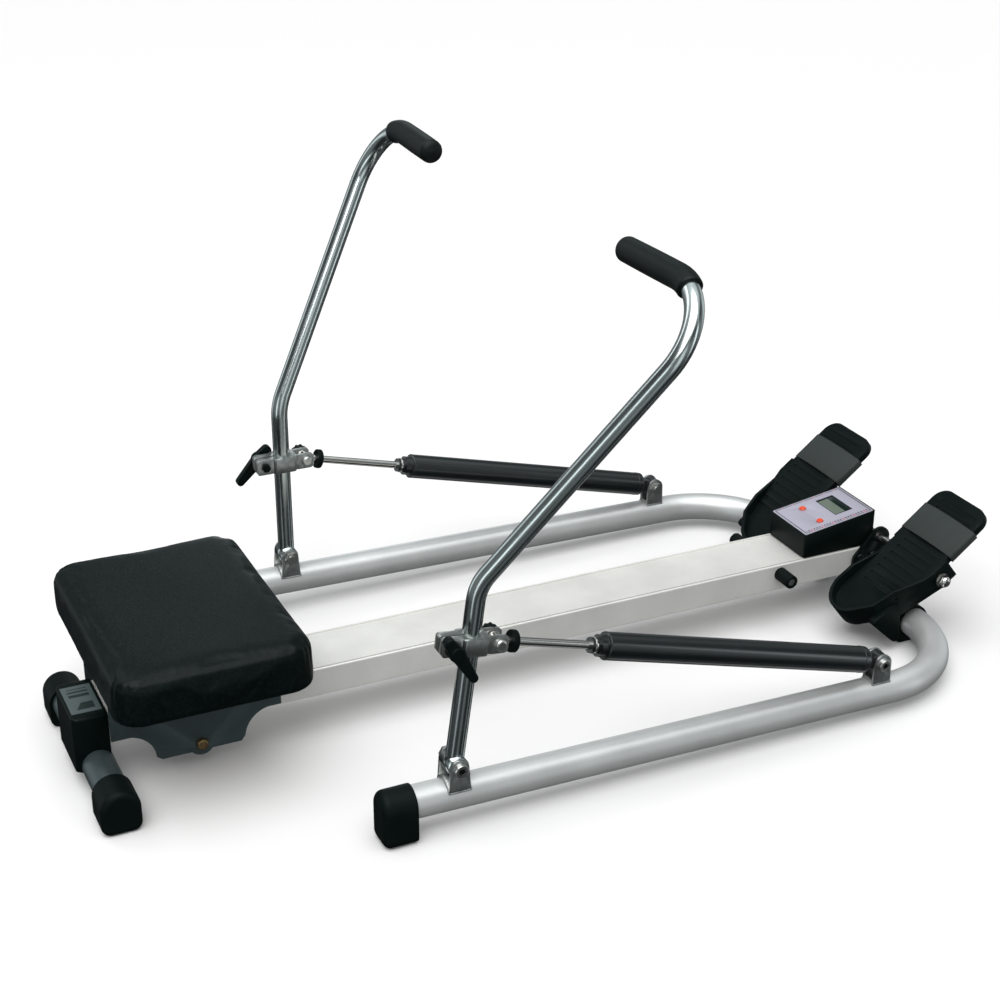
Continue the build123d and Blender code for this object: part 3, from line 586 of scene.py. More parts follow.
class RowerStageSet(bpy.types.Operator):
    """Lay the floor, hang the soft lights and stand the camera"""
    bl_idname = "rower.stage"
    bl_label = "Stage"

    def execute(self, context):
        scene, stage = context.scene, context.scene.rower_stage
        self.floor(stage.floor)
        self.world(scene)
        self.sky_panel(scene)
        self.softbox("key", (-1.1, -1.5, 2.0), (0.0, 0.0, 0.1), (1.0, 0.8), 9.0)
        self.softbox("rim", (-1.2, 1.9, 2.1), (0.1, 0.0, 0.2), (1.2, 1.0), 7.0)
        self.camera(scene, stage)
        scene.view_settings.view_transform = "Standard"
        return {"FINISHED"}

    def floor(self, shade):
        """A broad plane under the machine, paler than anything on it."""
        mesh = bpy.data.meshes.new("floor")
        half = 14.0
        mesh.from_pydata([(-half, -half, 0), (half, -half, 0), (half, half, 0), (-half, half, 0)], [],
                         [(0, 1, 2, 3)])
        floor = bpy.data.objects.new("floor", mesh)
        bpy.context.scene.collection.objects.link(floor)
        finish("floor_paper", paper(shade), Specular_IOR_Level=0.1)
        mesh.materials.append(LOOKS["floor_paper"])
        floor.location.z = -0.0004
        floor.visible_glossy = False
        floor.visible_diffuse = False

    def world(self, scene):
        """Even pale light, with darker studio walls and bright panels in the reflections."""
        world = bpy.data.worlds.new("studio")
        scene.world = world
        world.use_nodes = True
        graph = Graph(world.node_tree)
        where = graph.add("ShaderNodeTexCoord", output="Generated")
        x, y, z = graph.axes(where)
        turn = graph.add("ShaderNodeMath", {0: y, 1: x}, operation="ARCTAN2")
        panels = sum((abs(turn - at).ramp(wide, wide + soft, bright, 0.0)
                      for at, wide, soft, bright in WALL_PANELS), 0.0)
        ceiling = z.ramp(0.55, 0.9, 0.0, 0.8)
        walls = z.ramp(-0.5, 0.0, 0.12, 1.0) * z.ramp(0.25, 0.5, 1.0, 0.25)
        level = (0.22 + panels * 0.7) * walls + ceiling
        studio = graph.add("ShaderNodeBackground", {"Color": (0.90, 0.97, 1.0, 1.0), "Strength": level})
        plain = graph.add("ShaderNodeBackground", {"Color": (1.0, 1.0, 1.0, 1.0), "Strength": 0.52})
        ray = graph.add("ShaderNodeLightPath")
        mixed = graph.add("ShaderNodeMixShader", {0: ray.out("Is Glossy Ray"), 1: plain, 2: studio})
        graph.add("ShaderNodeOutputWorld", {"Surface": mixed})

    def sky_panel(self, scene):
        """Very broad light from overhead that falls evenly on machine and floor."""
        lamp = bpy.data.lights.new("overhead", "SUN")
        lamp.energy = 2.2
        lamp.angle = radians(64)
        holder = bpy.data.objects.new("overhead", lamp)
        holder.rotation_euler = (radians(14), radians(-10), 0)
        scene.collection.objects.link(holder)

    def softbox(self, name, place, target, size, power):
        lamp = bpy.data.lights.new(name, "AREA")
        lamp.shape = "RECTANGLE"
        lamp.size, lamp.size_y = size
        lamp.energy = power
        holder = bpy.data.objects.new(name, lamp)
        holder.location = place
        holder.rotation_euler = (Vector(target) - Vector(place)).to_track_quat("-Z", "Y").to_euler()
        bpy.context.scene.collection.objects.link(holder)

    def camera(self, scene, stage):
        lens = bpy.data.cameras.new("camera")
        lens.lens = stage.lens
        lens.sensor_width = 36.0
        lens.shift_x, lens.shift_y = stage.shift
        holder = bpy.data.objects.new("camera", lens)
        level = cos(stage.pitch)
        aim = Vector((cos(stage.heading) * level, sin(stage.heading) * level, sin(stage.pitch)))
        holder.location = stage.place
        holder.rotation_euler = aim.to_track_quat("-Z", "Y").to_euler()
        scene.collection.objects.link(holder)
        scene.camera = holder


# bearing, half width and softness in radians, and brightness of each panel in the reflections
WALL_PANELS = (
    (radians(-150), 0.10, 0.05, 2.2), (radians(-95), 0.16, 0.10, 1.1), (radians(-40), 0.07, 0.04, 2.6),
    (radians(15), 0.20, 0.15, 0.7), (radians(70), 0.08, 0.05, 1.8), (radians(130), 0.14, 0.08, 1.2),
)


@surface
def paper(graph, where, shade):
    """Seamless background paper."""
    fibre = graph.noise(where, 900.0, 2.0)
    return {
        "Base Color": graph.mix(fibre, tinted(shade, 0.985), rgba(shade)),
        "Roughness": 0.85 + fibre * 0.1,
    }


# ---------------------------------------------------------------- making pieces
def linked(name, mesh):
    """New object at the origin holding the mesh."""
    piece = bpy.data.objects.new(name, mesh)
    bpy.context.scene.collection.objects.link(piece)
    return piece


def plain(piece):
    """Turn what the piece's modifiers make into its own mesh and drop them."""
    graph = bpy.context.evaluated_depsgraph_get()
    mesh = bpy.data.meshes.new_from_object(piece.evaluated_get(graph), depsgraph=graph)
    piece.modifiers.clear()
    piece.data = mesh
    mesh.name = piece.name
    return piece


def fitted(piece, look, body, nodes=()):
    """Finish the piece, let it ride on its body and stand for its CAD nodes."""
    paint(piece, look)
    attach(piece, body)
    if nodes:
        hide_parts(*nodes)
    return piece


def eased(name, node, width):
    """Copy of a CAD node, its corners joined and its sharp edges rounded to width."""
    edit = bmesh.new()
    edit.from_mesh(frame["nodes"][node].data)
    bmesh.ops.remove_doubles(edit, verts=edit.verts, dist=0.01 * MM)
    bmesh.ops.dissolve_limit(edit, angle_limit=radians(0.8), verts=edit.verts, edges=edit.edges)
    mesh = bpy.data.meshes.new(name)
    edit.to_mesh(mesh)
    edit.free()
    mesh.shade_smooth()
    piece = linked(name, mesh)
    bevel = piece.modifiers.new("edges", "BEVEL")
    bevel.width = width
    bevel.segments = 2
    bevel.limit_method = "ANGLE"
    bevel.angle_limit = radians(30)
    bevel.harden_normals = True
    return plain(piece)


def mapped(piece, rule):
    """Give the piece a map; rule turns a corner's place and its face's normal into (u, v)."""
    mesh = piece.data
    layer = mesh.uv_layers.new(name="UVMap") if not mesh.uv_layers else mesh.uv_layers[0]
    for face in mesh.polygons:
        for corner in face.loop_indices:
            layer.data[corner].uv = rule(mesh.vertices[mesh.loops[corner].vertex_index].co, face.normal)


def wire(points, bends=None, closed=False):
    """Mesh of edges through the points, each point with the radius its corner is bent to."""
    mesh = bpy.data.meshes.new("wire")
    links = [(i, i + 1) for i in range(len(points) - 1)]
    mesh.from_pydata([tuple(p) for p in points], links + ([(len(points) - 1, 0)] if closed else []), [])
    bend = mesh.attributes.new("bend", "FLOAT", "POINT")
    bend.data.foreach_set("value", bends or [0.0] * len(points))
    return mesh


# ---------------------------------------------------------------- geometry trees
def tree_of(name, inputs, build):
    """Geometry tree with named inputs; build returns the geometry that leaves it."""
    tree = bpy.data.node_groups.new(name, "GeometryNodeTree")
    tree.interface.new_socket("Geometry", in_out="OUTPUT", socket_type="NodeSocketGeometry")
    tree.interface.new_socket("Geometry", in_out="INPUT", socket_type="NodeSocketGeometry")
    for label, kind in {**inputs, "Finish": "Material"}.items():
        tree.interface.new_socket(label, in_out="INPUT", socket_type=f"NodeSocket{kind}")
    graph = Graph(tree)
    entry = graph.add("NodeGroupInput")
    whole = graph.add("GeometryNodeRealizeInstances", {0: build(graph, entry)})
    painted = graph.add("GeometryNodeSetMaterial", {"Geometry": whole, "Material": entry.out("Finish")})
    graph.add("NodeGroupOutput", {0: painted})
    return tree


def tree(name, inputs):
    """Make a build into a function that makes its tree."""
    return lambda build: partial(tree_of, name, inputs, build)


def grown(name, group, look, mesh=None, **inputs):
    """Run a geometry tree over the mesh with these inputs and keep what it makes."""
    piece = linked(name, mesh or bpy.data.meshes.new(name))
    modifier = piece.modifiers.new("grow", "NODES")
    modifier.node_group = group
    named = {key.replace("_", " "): value for key, value in inputs.items()}
    named["Finish"] = LOOKS[look]
    for item in group.interface.items_tree:
        if item.in_out == "INPUT" and item.name in named:
            modifier[item.identifier] = named.pop(item.name)
    if named:
        raise ValueError(f"{name}: the tree has no input {sorted(named)}")
    piece.data.update()
    return plain(piece)


def bent_path(graph, entry):
    """The object's own wire as a curve, each corner turned with its own radius."""
    path = graph.add("GeometryNodeMeshToCurve", {"Mesh": entry})
    bend = graph.add("GeometryNodeInputNamedAttribute", {"Name": "bend"}, data_type="FLOAT")
    return graph.add("GeometryNodeFilletCurve", {"Curve": path, "Count": 20, "Radius": bend}, mode="POLY")


def stood(graph, entry, shape):
    """Shape leaned forwards, then moved to its place."""
    turn = graph.add("ShaderNodeCombineXYZ", {1: entry.out("Lean")})
    return graph.laid(shape, Translation=entry.out("Place"), Rotation=turn)


def smooth(graph, shape):
    return graph.add("GeometryNodeSetShadeSmooth", {"Geometry": shape})


@tree("bent_tube", {"Radius": "Float", "Sleeve": "Float", "Bore": "Float", "Sleeve Width": "Float",
                    "Lean": "Float", "Place": "Vector"})
def tube_tree(graph, entry):
    """Bent round tube with a cross sleeve at its foot."""
    ring = graph.circle(48, entry.out("Radius"))
    tube = graph.swept(bent_path(graph, entry), ring)
    hoop = graph.circle(48, (entry.out("Sleeve") + entry.out("Bore")) * 0.5)
    wall = graph.oblong(entry.out("Sleeve") - entry.out("Bore"), entry.out("Sleeve Width"))
    sleeve = graph.swept(hoop, wall, caps=False)
    across = graph.laid(sleeve, Rotation=(pi / 2, 0.0, 0.0))
    joined = graph.add("GeometryNodeJoinGeometry", {0: smooth(graph, tube)})
    graph.tree.links.new(across.socket, joined.node.inputs[0])
    return stood(graph, entry, joined)


@tree("foam_grip", {"Radius": "Float", "Nose": "Float", "Cover": "Float", "Lean": "Float", "Place": "Vector"})
def grip_tree(graph, entry):
    """Foam sleeve over the last part of the path, with a rounded nose."""
    path = bent_path(graph, entry)
    whole = graph.add("GeometryNodeCurveLength", {"Curve": path})
    path = graph.add("GeometryNodeTrimCurve", {"Curve": path, 4: whole - entry.out("Cover"), 5: whole},
                     mode="LENGTH")
    path = graph.sampled(path, 0.0012)
    run = graph.run()
    left = (entry.out("Cover") - run) / entry.out("Nose")
    nose = (1.0 - (1.0 - left.math("MINIMUM", 1.0)) ** 2.4).math("MAXIMUM", 0.01) ** 0.5
    lip = (run / 0.0016).math("MINIMUM", 1.0) ** 0.5 * 0.06 + 0.94
    swell = ((run / entry.out("Cover")) * pi).math("SINE") * 0.025 + 0.985
    ring = graph.circle(56, entry.out("Radius"))
    foam = graph.swept(path, ring, Scale=nose * lip * swell)
    return stood(graph, entry, smooth(graph, foam))


@tree("weld_bead", {"Radius": "Float"})
def bead_tree(graph, entry):
    """Weld bead along the wire: overlapping ripples of uneven size."""
    path = graph.add("GeometryNodeMeshToCurve", {"Mesh": entry})
    path = graph.sampled(path, 0.0005)
    run = graph.run()
    ripple = (run * (pi / 0.0021)).math("SINE")
    drift = graph.noise(graph.add("GeometryNodeInputPosition"), 160.0, 2.0)
    size = abs(ripple) * 0.28 + 0.72 + (drift - 0.5) * 0.5
    ring = graph.circle(10, entry.out("Radius"))
    bead = graph.swept(path, ring, caps=False, Scale=size)
    return smooth(graph, bead)


@tree("fluted_knob", {"Radius": "Float", "Flutes": "Int", "Flute Depth": "Float", "Depth": "Float",
                      "Turn": "Vector", "Place": "Vector"})
def knob_tree(graph, entry):
    """Fluted knob: a scalloped outline drawn out to its depth, its outer rim rounded."""
    ring = graph.circle(120, entry.out("Radius"))
    step = graph.add("GeometryNodeInputIndex")
    wave = (step * entry.out("Flutes") * (2.0 * pi / 120)).math("COSINE")
    spot = graph.add("GeometryNodeInputPosition")
    cut = graph.add("ShaderNodeVectorMath", {0: spot, "Scale": (wave - 1.0) * entry.out("Flute Depth")},
                    operation="SCALE")
    ring = graph.add("GeometryNodeSetPosition", {"Geometry": ring, "Offset": cut})
    line = graph.add("GeometryNodeCurvePrimitiveLine", {"End": (0.0, 0.0, 1.0)})
    line = graph.add("GeometryNodeResampleCurve", {"Curve": line, "Count": 40})
    run = graph.run("Factor")
    rim = ((1.0 - run) / 0.22).math("MINIMUM", 1.0)
    dome = 0.74 + 0.26 * (1.0 - (1.0 - rim) ** 2) ** 0.5
    knob = graph.swept(line, ring, Scale=dome)
    long = graph.add("ShaderNodeCombineXYZ", {0: 1.0, 1: 1.0, 2: entry.out("Depth")})
    turned = graph.laid(smooth(graph, knob), Scale=long)
    return graph.laid(turned, Translation=entry.out("Place"), Rotation=entry.out("Turn"))


@tree("ring", {"Radius": "Float", "Thickness": "Float", "Width": "Float", "Turn": "Vector",
               "Place": "Vector"})
def ring_tree(graph, entry):
    """Ring of square section with softened corners."""
    hoop = graph.circle(64, entry.out("Radius"))
    wall = graph.oblong(entry.out("Thickness"), entry.out("Width"))
    wall = graph.add("GeometryNodeFilletCurve",
                     {"Curve": wall, "Count": 4, "Radius": entry.out("Thickness") * 0.3}, mode="POLY")
    band = graph.swept(hoop, wall, caps=False)
    return graph.laid(smooth(graph, band), Translation=entry.out("Place"), Rotation=entry.out("Turn"))


@tree("folded_hem", {"Width": "Float", "Thickness": "Float"})
def hem_tree(graph, entry):
    """Folded edge of the cover lying on the board along the wire."""
    path = bent_path(graph, entry)
    path = graph.sampled(path, 0.002)
    path = graph.add("GeometryNodeSetCurveNormal", {"Curve": path}, mode="Z_UP")
    run = graph.run()
    ruffle = (run * (2.0 * pi / 0.023)).math("SINE") * 0.05 + (run * (2.0 * pi / 0.061)).math("SINE") * 0.07
    strip = graph.oblong(entry.out("Width"), entry.out("Thickness"))
    hem = graph.swept(path, strip, Scale=1.0 + ruffle)
    return smooth(graph, hem)


@tree("staples", {"Pitch": "Float", "Length": "Float", "Wire": "Float"})
def staple_tree(graph, entry):
    """Staples set along the wire at an even pitch."""
    path = bent_path(graph, entry)
    spots = graph.add("GeometryNodeCurveToPoints", {"Curve": path, "Length": entry.out("Pitch")},
                      mode="LENGTH")
    half = entry.out("Length") * 0.5
    crown = graph.add("GeometryNodeCurvePrimitiveLine",
                      {"Start": graph.add("ShaderNodeCombineXYZ", {2: 0.0 - half}),
                       "End": graph.add("ShaderNodeCombineXYZ", {2: half})})
    ring = graph.circle(8, entry.out("Wire"))
    staple = graph.swept(crown, ring)
    return graph.add("GeometryNodeInstanceOnPoints",
                     {"Points": spots, "Instance": smooth(graph, staple), "Rotation": spots.out("Rotation")})


# ---------------------------------------------------------------- operators for the pieces
class RowerCushion(bpy.types.Operator):
    """Fill the seat's cover by a short cloth simulation, pleat its corners and staple its hem"""
    bl_idname = "rower.cushion"
    bl_label = "Seat cushion"

    def execute(self, context):
        sizes = context.scene.rower_sizes
        low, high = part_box("seat_cushion")
        cover = linked("seat_cover", self.blank(low, high, sizes))
        cells = cover.modifiers.new("cells", "REMESH")
        cells.mode = "VOXEL"
        cells.voxel_size = sizes.voxel
        plain(cover)
        self.fill(context.scene, cover, low, sizes)
        skin = cover.modifiers.new("skin", "SUBSURF")
        skin.levels = skin.render_levels = 1
        plain(cover)
        self.pleat(cover, low, high, sizes)
        cover.data.shade_smooth()
        fitted(cover, "seat_vinyl", "seat", ["seat_cushion"])
        self.hem(low, high)
        return {"FINISHED"}

    def blank(self, low, high, sizes):
        """Rounded block a little smaller than the finished cushion."""
        slack = Vector((sizes.slack, sizes.slack, 0))
        low, high = low + slack, high - slack - Vector((0, 0, sizes.slack))
        edit = bmesh.new()
        bmesh.ops.create_cube(edit, size=1.0)
        for vertex in edit.verts:
            vertex.co = Vector(((low[i] + high[i]) / 2 + vertex.co[i] * (high[i] - low[i]) for i in range(3)))
        upright = [e for e in edit.edges if abs(e.verts[0].co.z - e.verts[1].co.z) > 0.01]
        bmesh.ops.bevel(edit, geom=upright, offset=sizes.seat_corner, segments=10, affect="EDGES",
                        profile=0.5)
        for height, radius in ((high.z, sizes.seat_edge), (low.z, sizes.seat_edge * 0.45)):
            rim = [e for e in edit.edges if all(abs(v.co.z - height) < 1e-5 for v in e.verts)]
            bmesh.ops.bevel(edit, geom=rim, offset=radius, segments=8, affect="EDGES", profile=0.5)
        mesh = bpy.data.meshes.new("seat_cover")
        edit.to_mesh(mesh)
        edit.free()
        return mesh

    def fill(self, scene, cover, low, sizes):
        """Blow the cover up against its pinned underside, then limit how far it went."""
        pinned = [v.index for v in cover.data.vertices if v.co.z < low.z + 2.5 * MM]
        cover.vertex_groups.new(name="board").add(pinned, 1.0, "REPLACE")
        rest = np.array([v.co for v in cover.data.vertices])
        out = np.array([v.normal for v in cover.data.vertices])
        cloth = cover.modifiers.new("cloth", "CLOTH")
        cloth.settings.quality = 5
        cloth.settings.mass = 0.25
        cloth.settings.tension_stiffness = cloth.settings.compression_stiffness = 30.0
        cloth.settings.shear_stiffness = 12.0
        cloth.settings.bending_stiffness = 1.0
        cloth.settings.shrink_min = -sizes.stretch
        cloth.settings.use_pressure = True
        cloth.settings.uniform_pressure_force = sizes.pressure
        cloth.settings.vertex_group_mass = "board"
        cloth.settings.effector_weights.gravity = 0.0
        cloth.collision_settings.use_collision = False
        cloth.point_cache.frame_start, cloth.point_cache.frame_end = 1, 20
        for number in range(1, 21):
            scene.frame_set(number)
        plain(cover)
        moved = np.array([v.co for v in cover.data.vertices]) - rest
        rise = (moved * out).sum(axis=1, keepdims=True)
        slide = moved - out * rise
        kept = np.where(rise > 0, sizes.swell * np.tanh(rise / sizes.swell), 0.12 * rise)
        cover.data.vertices.foreach_set("co", (rest + out * kept + slide * 0.08).ravel())
        scene.frame_set(1)

    def pleat(self, cover, low, high, sizes):
        """Gather the skin round each corner into small folds that fade onto the top."""
        radius = sizes.seat_corner
        middle = (low + high) / 2
        reach = (high - low) / 2
        spots = np.array([v.co for v in cover.data.vertices])
        offset = spots[:, :2] - np.array(middle[:2])
        corner = np.abs(offset) - (np.array(reach[:2]) - radius)
        turn = np.arctan2(corner[:, 1], corner[:, 0])
        away = np.hypot(corner[:, 0], corner[:, 1])
        near = (corner.min(axis=1) > -0.25 * radius) * np.clip((away / radius - 0.45) / 0.45, 0, 1)
        fade = np.clip(np.sin(np.clip(turn / (pi / 2), 0, 1) * pi) * 1.6, 0, 1)
        height = (spots[:, 2] - low.z) / (high.z - low.z)
        tall = np.interp(height, [0.0, 0.4, 0.78, 0.92, 1.0], [0.0, 0.12, 1.0, 0.9, 0.3])
        fold = np.cos(turn * sizes.pleats * 4) * 0.5 + 0.5 + 0.25 * np.cos(turn * 11.0 + offset[:, 0] * 40)
        depth = sizes.pleat_depth * near * fade * tall * fold
        inward = -np.sign(offset) * np.clip(corner, 0, None) / np.maximum(away, 1e-6)[:, None]
        spots[:, :2] += inward * depth[:, None]
        spots[:, 2] -= depth * np.clip(height - 0.6, 0, 1) * 0.8
        broad = np.sin(spots[:, 0] * 31.0 + 0.6) * np.sin(spots[:, 1] * 23.0 + 1.1)
        spots[:, 2] += broad * 0.3 * MM * (height > 0.75)
        cover.data.vertices.foreach_set("co", spots.ravel())
        cover.data.update()

    def hem(self, low, high):
        """Folded edge and staples on the underside, clear of the carriage."""
        inset, board = 22 * MM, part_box("seat_board")[0].z
        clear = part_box("seat_carriage")[1].y + 6 * MM
        hem, staples = hem_tree(), staple_tree()
        for side, sign in SIDES.items():
            outer = sign * (min(-low.y, high.y) - inset)
            ends = low.x + inset, high.x - inset
            line = [(ends[0], sign * clear, board - 0.55 * MM), (ends[0], outer, board - 0.55 * MM),
                    (ends[1], outer, board - 0.55 * MM), (ends[1], sign * clear, board - 0.55 * MM)]
            bends = [0.0, 18 * MM, 18 * MM, 0.0]
            strip = grown(f"seat_hem_{side}", hem, "seat_vinyl", wire(line, bends), Width=11 * MM,
                          Thickness=0.9 * MM)
            fitted(strip, "seat_vinyl", "seat")
            line = [(x, y, z - 0.55 * MM) for x, y, z in line]
            row = grown(f"seat_staples_{side}", staples, "zinc_plate", wire(line, bends), Pitch=19 * MM,
                        Length=9.5 * MM, Wire=0.35 * MM)
            fitted(row, "zinc_plate", "seat")


class RowerArms(bpy.types.Operator):
    """Bend the chromed arms and draw their foam grips on"""
    bl_idname = "rower.arms"
    bl_label = "Arms and grips"

    def execute(self, context):
        sizes = context.scene.rower_sizes
        tube, grip = tube_tree(), grip_tree()
        for side, sign in SIDES.items():
            top = Vector((sizes.arm_top[0], sizes.arm_top[1] * sign, sizes.arm_top[2]))
            end = Vector((sizes.arm_end[0], sizes.arm_end[1] * sign, sizes.arm_end[2]))
            start = [Vector((0, 0, sizes.sleeve_bore + 3 * MM)), Vector((0, 0, sizes.arm_rise)), top]
            bends = [0.0, sizes.lower_bend, sizes.upper_bend, 0.0]
            stand = {"Lean": sizes.lean_right if side == "right" else sizes.lean_left,
                     "Place": JOINTS[f"{side}_arm_swing"]["pos_m"]}
            arm = grown(f"chrome_arm_{side}", tube, "chrome_plate", wire([*start, end], bends),
                        Radius=sizes.tube_radius, Sleeve=sizes.sleeve, Bore=sizes.sleeve_bore,
                        Sleeve_Width=sizes.sleeve_width, **stand)
            fitted(arm, "chrome_plate", f"{side}_arm", [f"arm_tube_{side}"])
            tip = end + (end - top).normalized() * sizes.grip_nose
            foam = grown(f"foam_grip_{side}", grip, "grip_foam", wire([*start, tip], bends),
                         Radius=sizes.grip_radius, Nose=sizes.grip_nose * 1.3, Cover=sizes.grip_cover,
                         **stand)
            fitted(foam, "grip_foam", f"{side}_arm", [f"grip_{side}"])
        return {"FINISHED"}


class RowerCastings(bpy.types.Operator):
    """Round the edges of the folded, cast and moulded parts"""
    bl_idname = "rower.castings"
    bl_label = "Cast and moulded parts"

    def execute(self, context):
        width = context.scene.rower_sizes.edge
        for node, (look, slot, share) in CASTINGS.items():
            fitted(eased(f"shaped_{node}", node, width * share), look, body_of(node), [node])
        return {"FINISHED"}


class RowerKnobs(bpy.types.Operator):
    """Turn the fluted knobs of the damper yokes"""
    bl_idname = "rower.knobs"
    bl_label = "Yoke knobs"

    def execute(self, context):
        sizes = context.scene.rower_sizes
        knob = knob_tree()
        for side in SIDES:
            low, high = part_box(f"yoke_knob_{side}")
            place = Vector(((low.x + high.x) / 2, low.y, (low.z + high.z) / 2))
            piece = grown(f"fluted_knob_{side}", knob, "black_plastic", Radius=(high.z - low.z) / 2,
                          Flutes=sizes.flutes, Flute_Depth=0.06, Depth=high.y - low.y,
                          Turn=(-pi / 2, 0, 0), Place=place)
            fitted(piece, "black_plastic", f"{side}_arm", [f"yoke_knob_{side}"])
        return {"FINISHED"}


class RowerWelds(bpy.types.Operator):
    """Lay weld beads where the brackets stand on the base tube"""
    bl_idname = "rower.welds"
    bl_label = "Weld beads"

    def execute(self, context):
        bead = bead_tree()
        low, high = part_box("base_tube")
        radius = (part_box("rear_crossbar")[1].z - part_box("rear_crossbar")[0].z) / 2
        rear, front = Vector((low.x, high.z - radius)), Vector((high.x - radius, low.z + radius))

        def on_tube(x, across, lift):
            share = (x - rear.x) / (front.x - rear.x)
            return rear.y + (front.y - rear.y) * share + (lift ** 2 - across ** 2) ** 0.5

        for side in SIDES:
            for kind in ("arm", "damper"):
                near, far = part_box(f"{kind}_bracket_{side}")
                middle = (near.y + far.y) / 2
                wide = min((far.y - near.y) / 2, radius * 0.86)
                lift = radius + (0.4 if kind == "damper" else 0.2) * MM
                loop = []
                for x0, w0, x1, w1 in ((near.x, -wide, far.x, -wide), (far.x, -wide, far.x, wide),
                                       (far.x, wide, near.x, wide), (near.x, wide, near.x, -wide)):
                    for step in range(16):
                        x, w = x0 + (x1 - x0) * step / 16, w0 + (w1 - w0) * step / 16
                        loop.append((x, middle + w, on_tube(x, w, lift)))
                piece = grown(f"weld_{kind}_{side}", bead, "weld_metal", wire(loop, closed=True),
                              Radius=1.25 * MM)
                fitted(piece, "weld_metal", "frame")
        return {"FINISHED"}


# distance from the foot pin and radius in millimetres, finish and record slot of each ring on a damper
DAMPER_RINGS = (
    ("gland", 404.0, 9.2, "polished_steel", "rod_steel"),
    ("collar", 388.0, 15.6, "damper_enamel", "damper_black"),
    ("foot_ring", 30.0, 15.8, "damper_enamel", "damper_black"),
)


class RowerRings(bpy.types.Operator):
    """Put on the rings: damper glands and button bezels"""
    bl_idname = "rower.rings"
    bl_label = "Rings and bezels"

    def execute(self, context):
        ring = ring_tree()
        for side in SIDES:
            pin = Vector(JOINTS[f"{side}_damper_tilt"]["pos_m"])
            along = Vector(JOINTS[f"{side}_rod_slide"]["axis"])
            turn = (0, atan2(along.x, along.z), 0)
            for name, reach, radius, look, slot in DAMPER_RINGS:
                piece = grown(f"damper_{name}_{side}", ring, look, Radius=radius * MM, Thickness=1.0 * MM,
                              Width=2.6 * MM, Turn=turn, Place=pin + along * reach * MM)
                fitted(piece, look, f"{side}_damper")
            low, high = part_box(f"console_button_{side}")
            out = -Vector(JOINTS[f"{side}_button_press"]["axis"])
            face = (low + high) / 2 - out * 1.45 * MM + out * 1.0 * MM
            piece = grown(f"button_bezel_{side}", ring, "black_plastic", Radius=5.35 * MM, Thickness=1.1 * MM,
                          Width=1.2 * MM, Turn=(0, atan2(out.x, out.z), 0), Place=face)
            fitted(piece, "black_plastic", "frame")
        return {"FINISHED"}


class RowerSocketShade(bpy.types.Operator):
    """Sink a dark hexagon into the head of each cross bolt: painted shade standing for the dark inside of the hex
    socket
    """
    bl_idname = "rower.sockets"
    bl_label = "Bolt socket_shades"

    def execute(self, context):
        for side, sign in SIDES.items():
            for kind, across in (("pivot", 3.7), ("damper", 3.4)):
                low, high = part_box(f"{kind}_bolt_{side}")
                head = low.y if side == "right" else high.y
                joint = "arm_swing" if kind == "pivot" else "damper_tilt"
                pin = Vector(JOINTS[f"{side}_{joint}"]["pos_m"])
                # flat black hexagon 0.9 mm under the head's face, in black rubber: painted shade inside the
                # socket, not a part of the bolt
                edit = bmesh.new()
                ring = [edit.verts.new((pin.x + across * MM * cos(k * pi / 3), head - sign * 0.9 * MM,
                                        pin.z + across * MM * sin(k * pi / 3))) for k in range(6)]
                edit.faces.new(ring if side == "right" else ring[::-1])
                mesh = bpy.data.meshes.new(f"socket_{kind}_{side}")
                edit.to_mesh(mesh)
                edit.free()
                fitted(linked(mesh.name, mesh), "black_rubber", "frame")
        return {"FINISHED"}


class RowerPrinted(bpy.types.Operator):
    """Map the console's film and window and the foot straps for their patterns"""
    bl_idname = "rower.printed"
    bl_label = "Console face and straps"

    def execute(self, context):
        for node, look, slot, width in (("console_face", "console_film", "console_silver", 0.2),
                                        ("console_display", "console_glass", "display", 0.3)):
            low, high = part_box(node)
            piece = eased(f"printed_{node}", node, width * MM)
            mapped(piece, lambda spot, normal: ((spot.x - low.x) / (high.x - low.x),
                                                (spot.y - low.y) / (high.y - low.y)))
            fitted(piece, look, "frame", [node])
        for side in SIDES:
            pin = Vector(JOINTS[f"{side}_pedal_tilt"]["pos_m"])
            tilt = context.scene.rower_sizes.plate_tilt
            up = Vector((cos(tilt), 0, sin(tilt)))
            off = Vector((-sin(tilt), 0, cos(tilt)))
            piece = eased(f"strap_{side}", f"foot_strap_{side}", 0.5 * MM)

            def along(spot, normal):
                local = spot - pin
                run = local.dot(off) if abs(normal.y) > 0.7 else local.y
                return run, local.dot(up)

            mapped(piece, along)
            fitted(piece, "webbing", f"{side}_pedal", [f"foot_strap_{side}"])
        return {"FINISHED"}


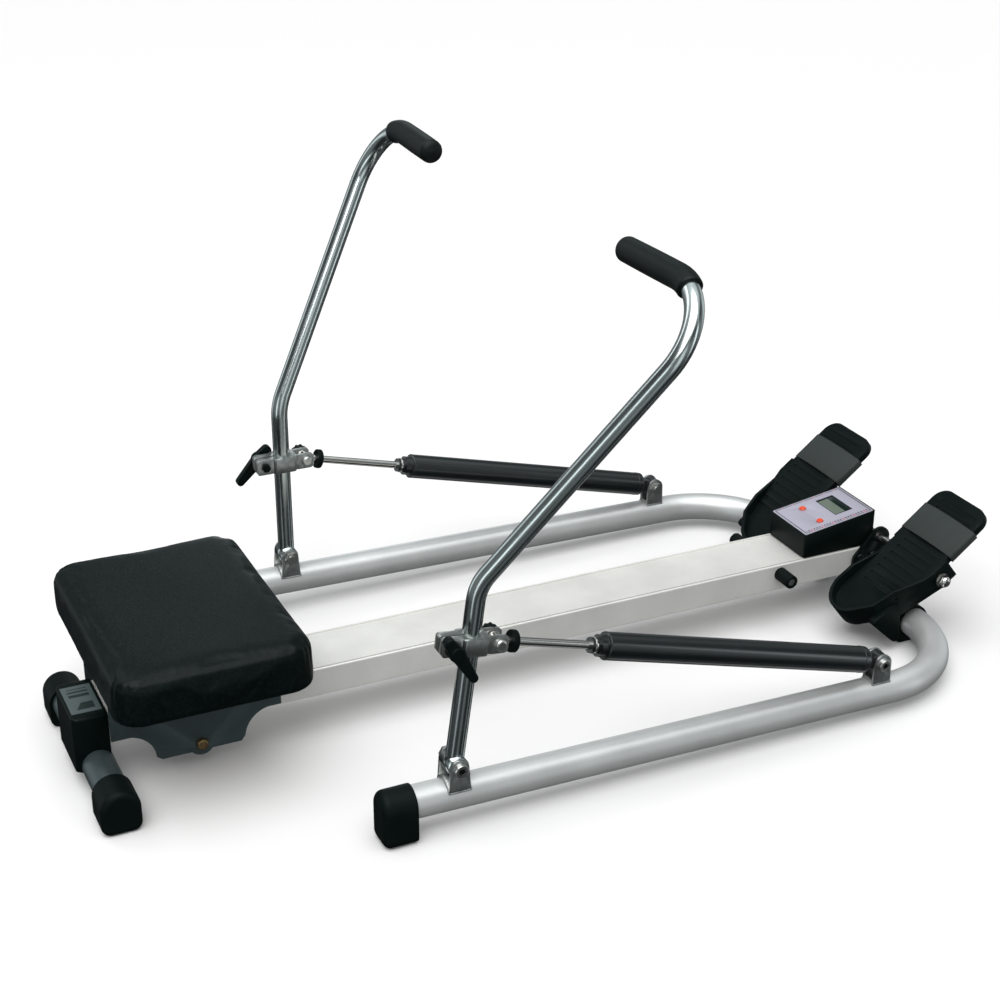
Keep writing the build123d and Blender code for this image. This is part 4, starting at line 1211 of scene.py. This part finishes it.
# finish, record slot and edge rounding, as a share of the sizes' edge radius, of each reshaped node
CASTINGS = {
    "seat_carriage": ("carriage_paint", "carriage_paint", 1.0),
    "beam_rear_cover": ("black_plastic", "black_plastic", 1.8),
    "console_body": ("black_plastic", "black_plastic", 2.2),
    "front_bracket": ("bracket_paint", "black_paint", 1.0),
}
for _side in SIDES:
    CASTINGS.update({
        f"arm_bracket_{_side}": ("zinc_plate", "silver_paint", 0.9),
        f"damper_bracket_{_side}": ("zinc_plate", "silver_paint", 0.9),
        f"clamp_{_side}": ("zinc_plate", "cast_silver", 0.9),
        f"clamp_lever_{_side}": ("black_plastic", "black_plastic", 0.8),
        f"foot_plate_{_side}": ("black_plastic", "black_plastic", 1.6),
        f"front_foot_{_side}": ("black_rubber", "rubber", 1.4),
    })


def body_of(node):
    """The CAD body a node belongs to."""
    for body, names in frame["record"]["behaviour"]["bodies"].items():
        if node in names:
            return body
    raise KeyError(node)


# ---------------------------------------------------------------- panel and registration
class RowerPanel(bpy.types.Panel):
    """Sizes, colours and the steps that make the machine"""
    bl_idname = "VIEW3D_PT_rower"
    bl_label = "Rowing machine"
    bl_space_type = "VIEW_3D"
    bl_region_type = "UI"
    bl_category = "Rower"

    def draw(self, context):
        for group in (context.scene.rower_sizes, context.scene.rower_colours, context.scene.rower_stage):
            column = self.layout.column(align=True)
            for name in group.__annotations__:
                column.prop(group, name)
        for step in STEPS:
            self.layout.operator(step.bl_idname)


STEPS = (RowerFinishes, RowerCushion, RowerArms, RowerCastings, RowerKnobs, RowerWelds, RowerRings,
         RowerSocketShade, RowerPrinted, RowerStageSet)
GROUPS = {"rower_sizes": RowerSizes, "rower_colours": RowerColours, "rower_stage": RowerStage}


def register():
    for made in (*GROUPS.values(), *STEPS, RowerPanel):
        bpy.utils.register_class(made)
    for name, group in GROUPS.items():
        setattr(bpy.types.Scene, name, PointerProperty(type=group))


def unregister():
    for name in GROUPS:
        delattr(bpy.types.Scene, name)
    for made in reversed((*GROUPS.values(), *STEPS, RowerPanel)):
        bpy.utils.unregister_class(made)


def main():
    register()
    for step in STEPS:
        group, name = step.bl_idname.split(".")
        getattr(getattr(bpy.ops, group), name)()


if __name__ == "__main__":
    main()
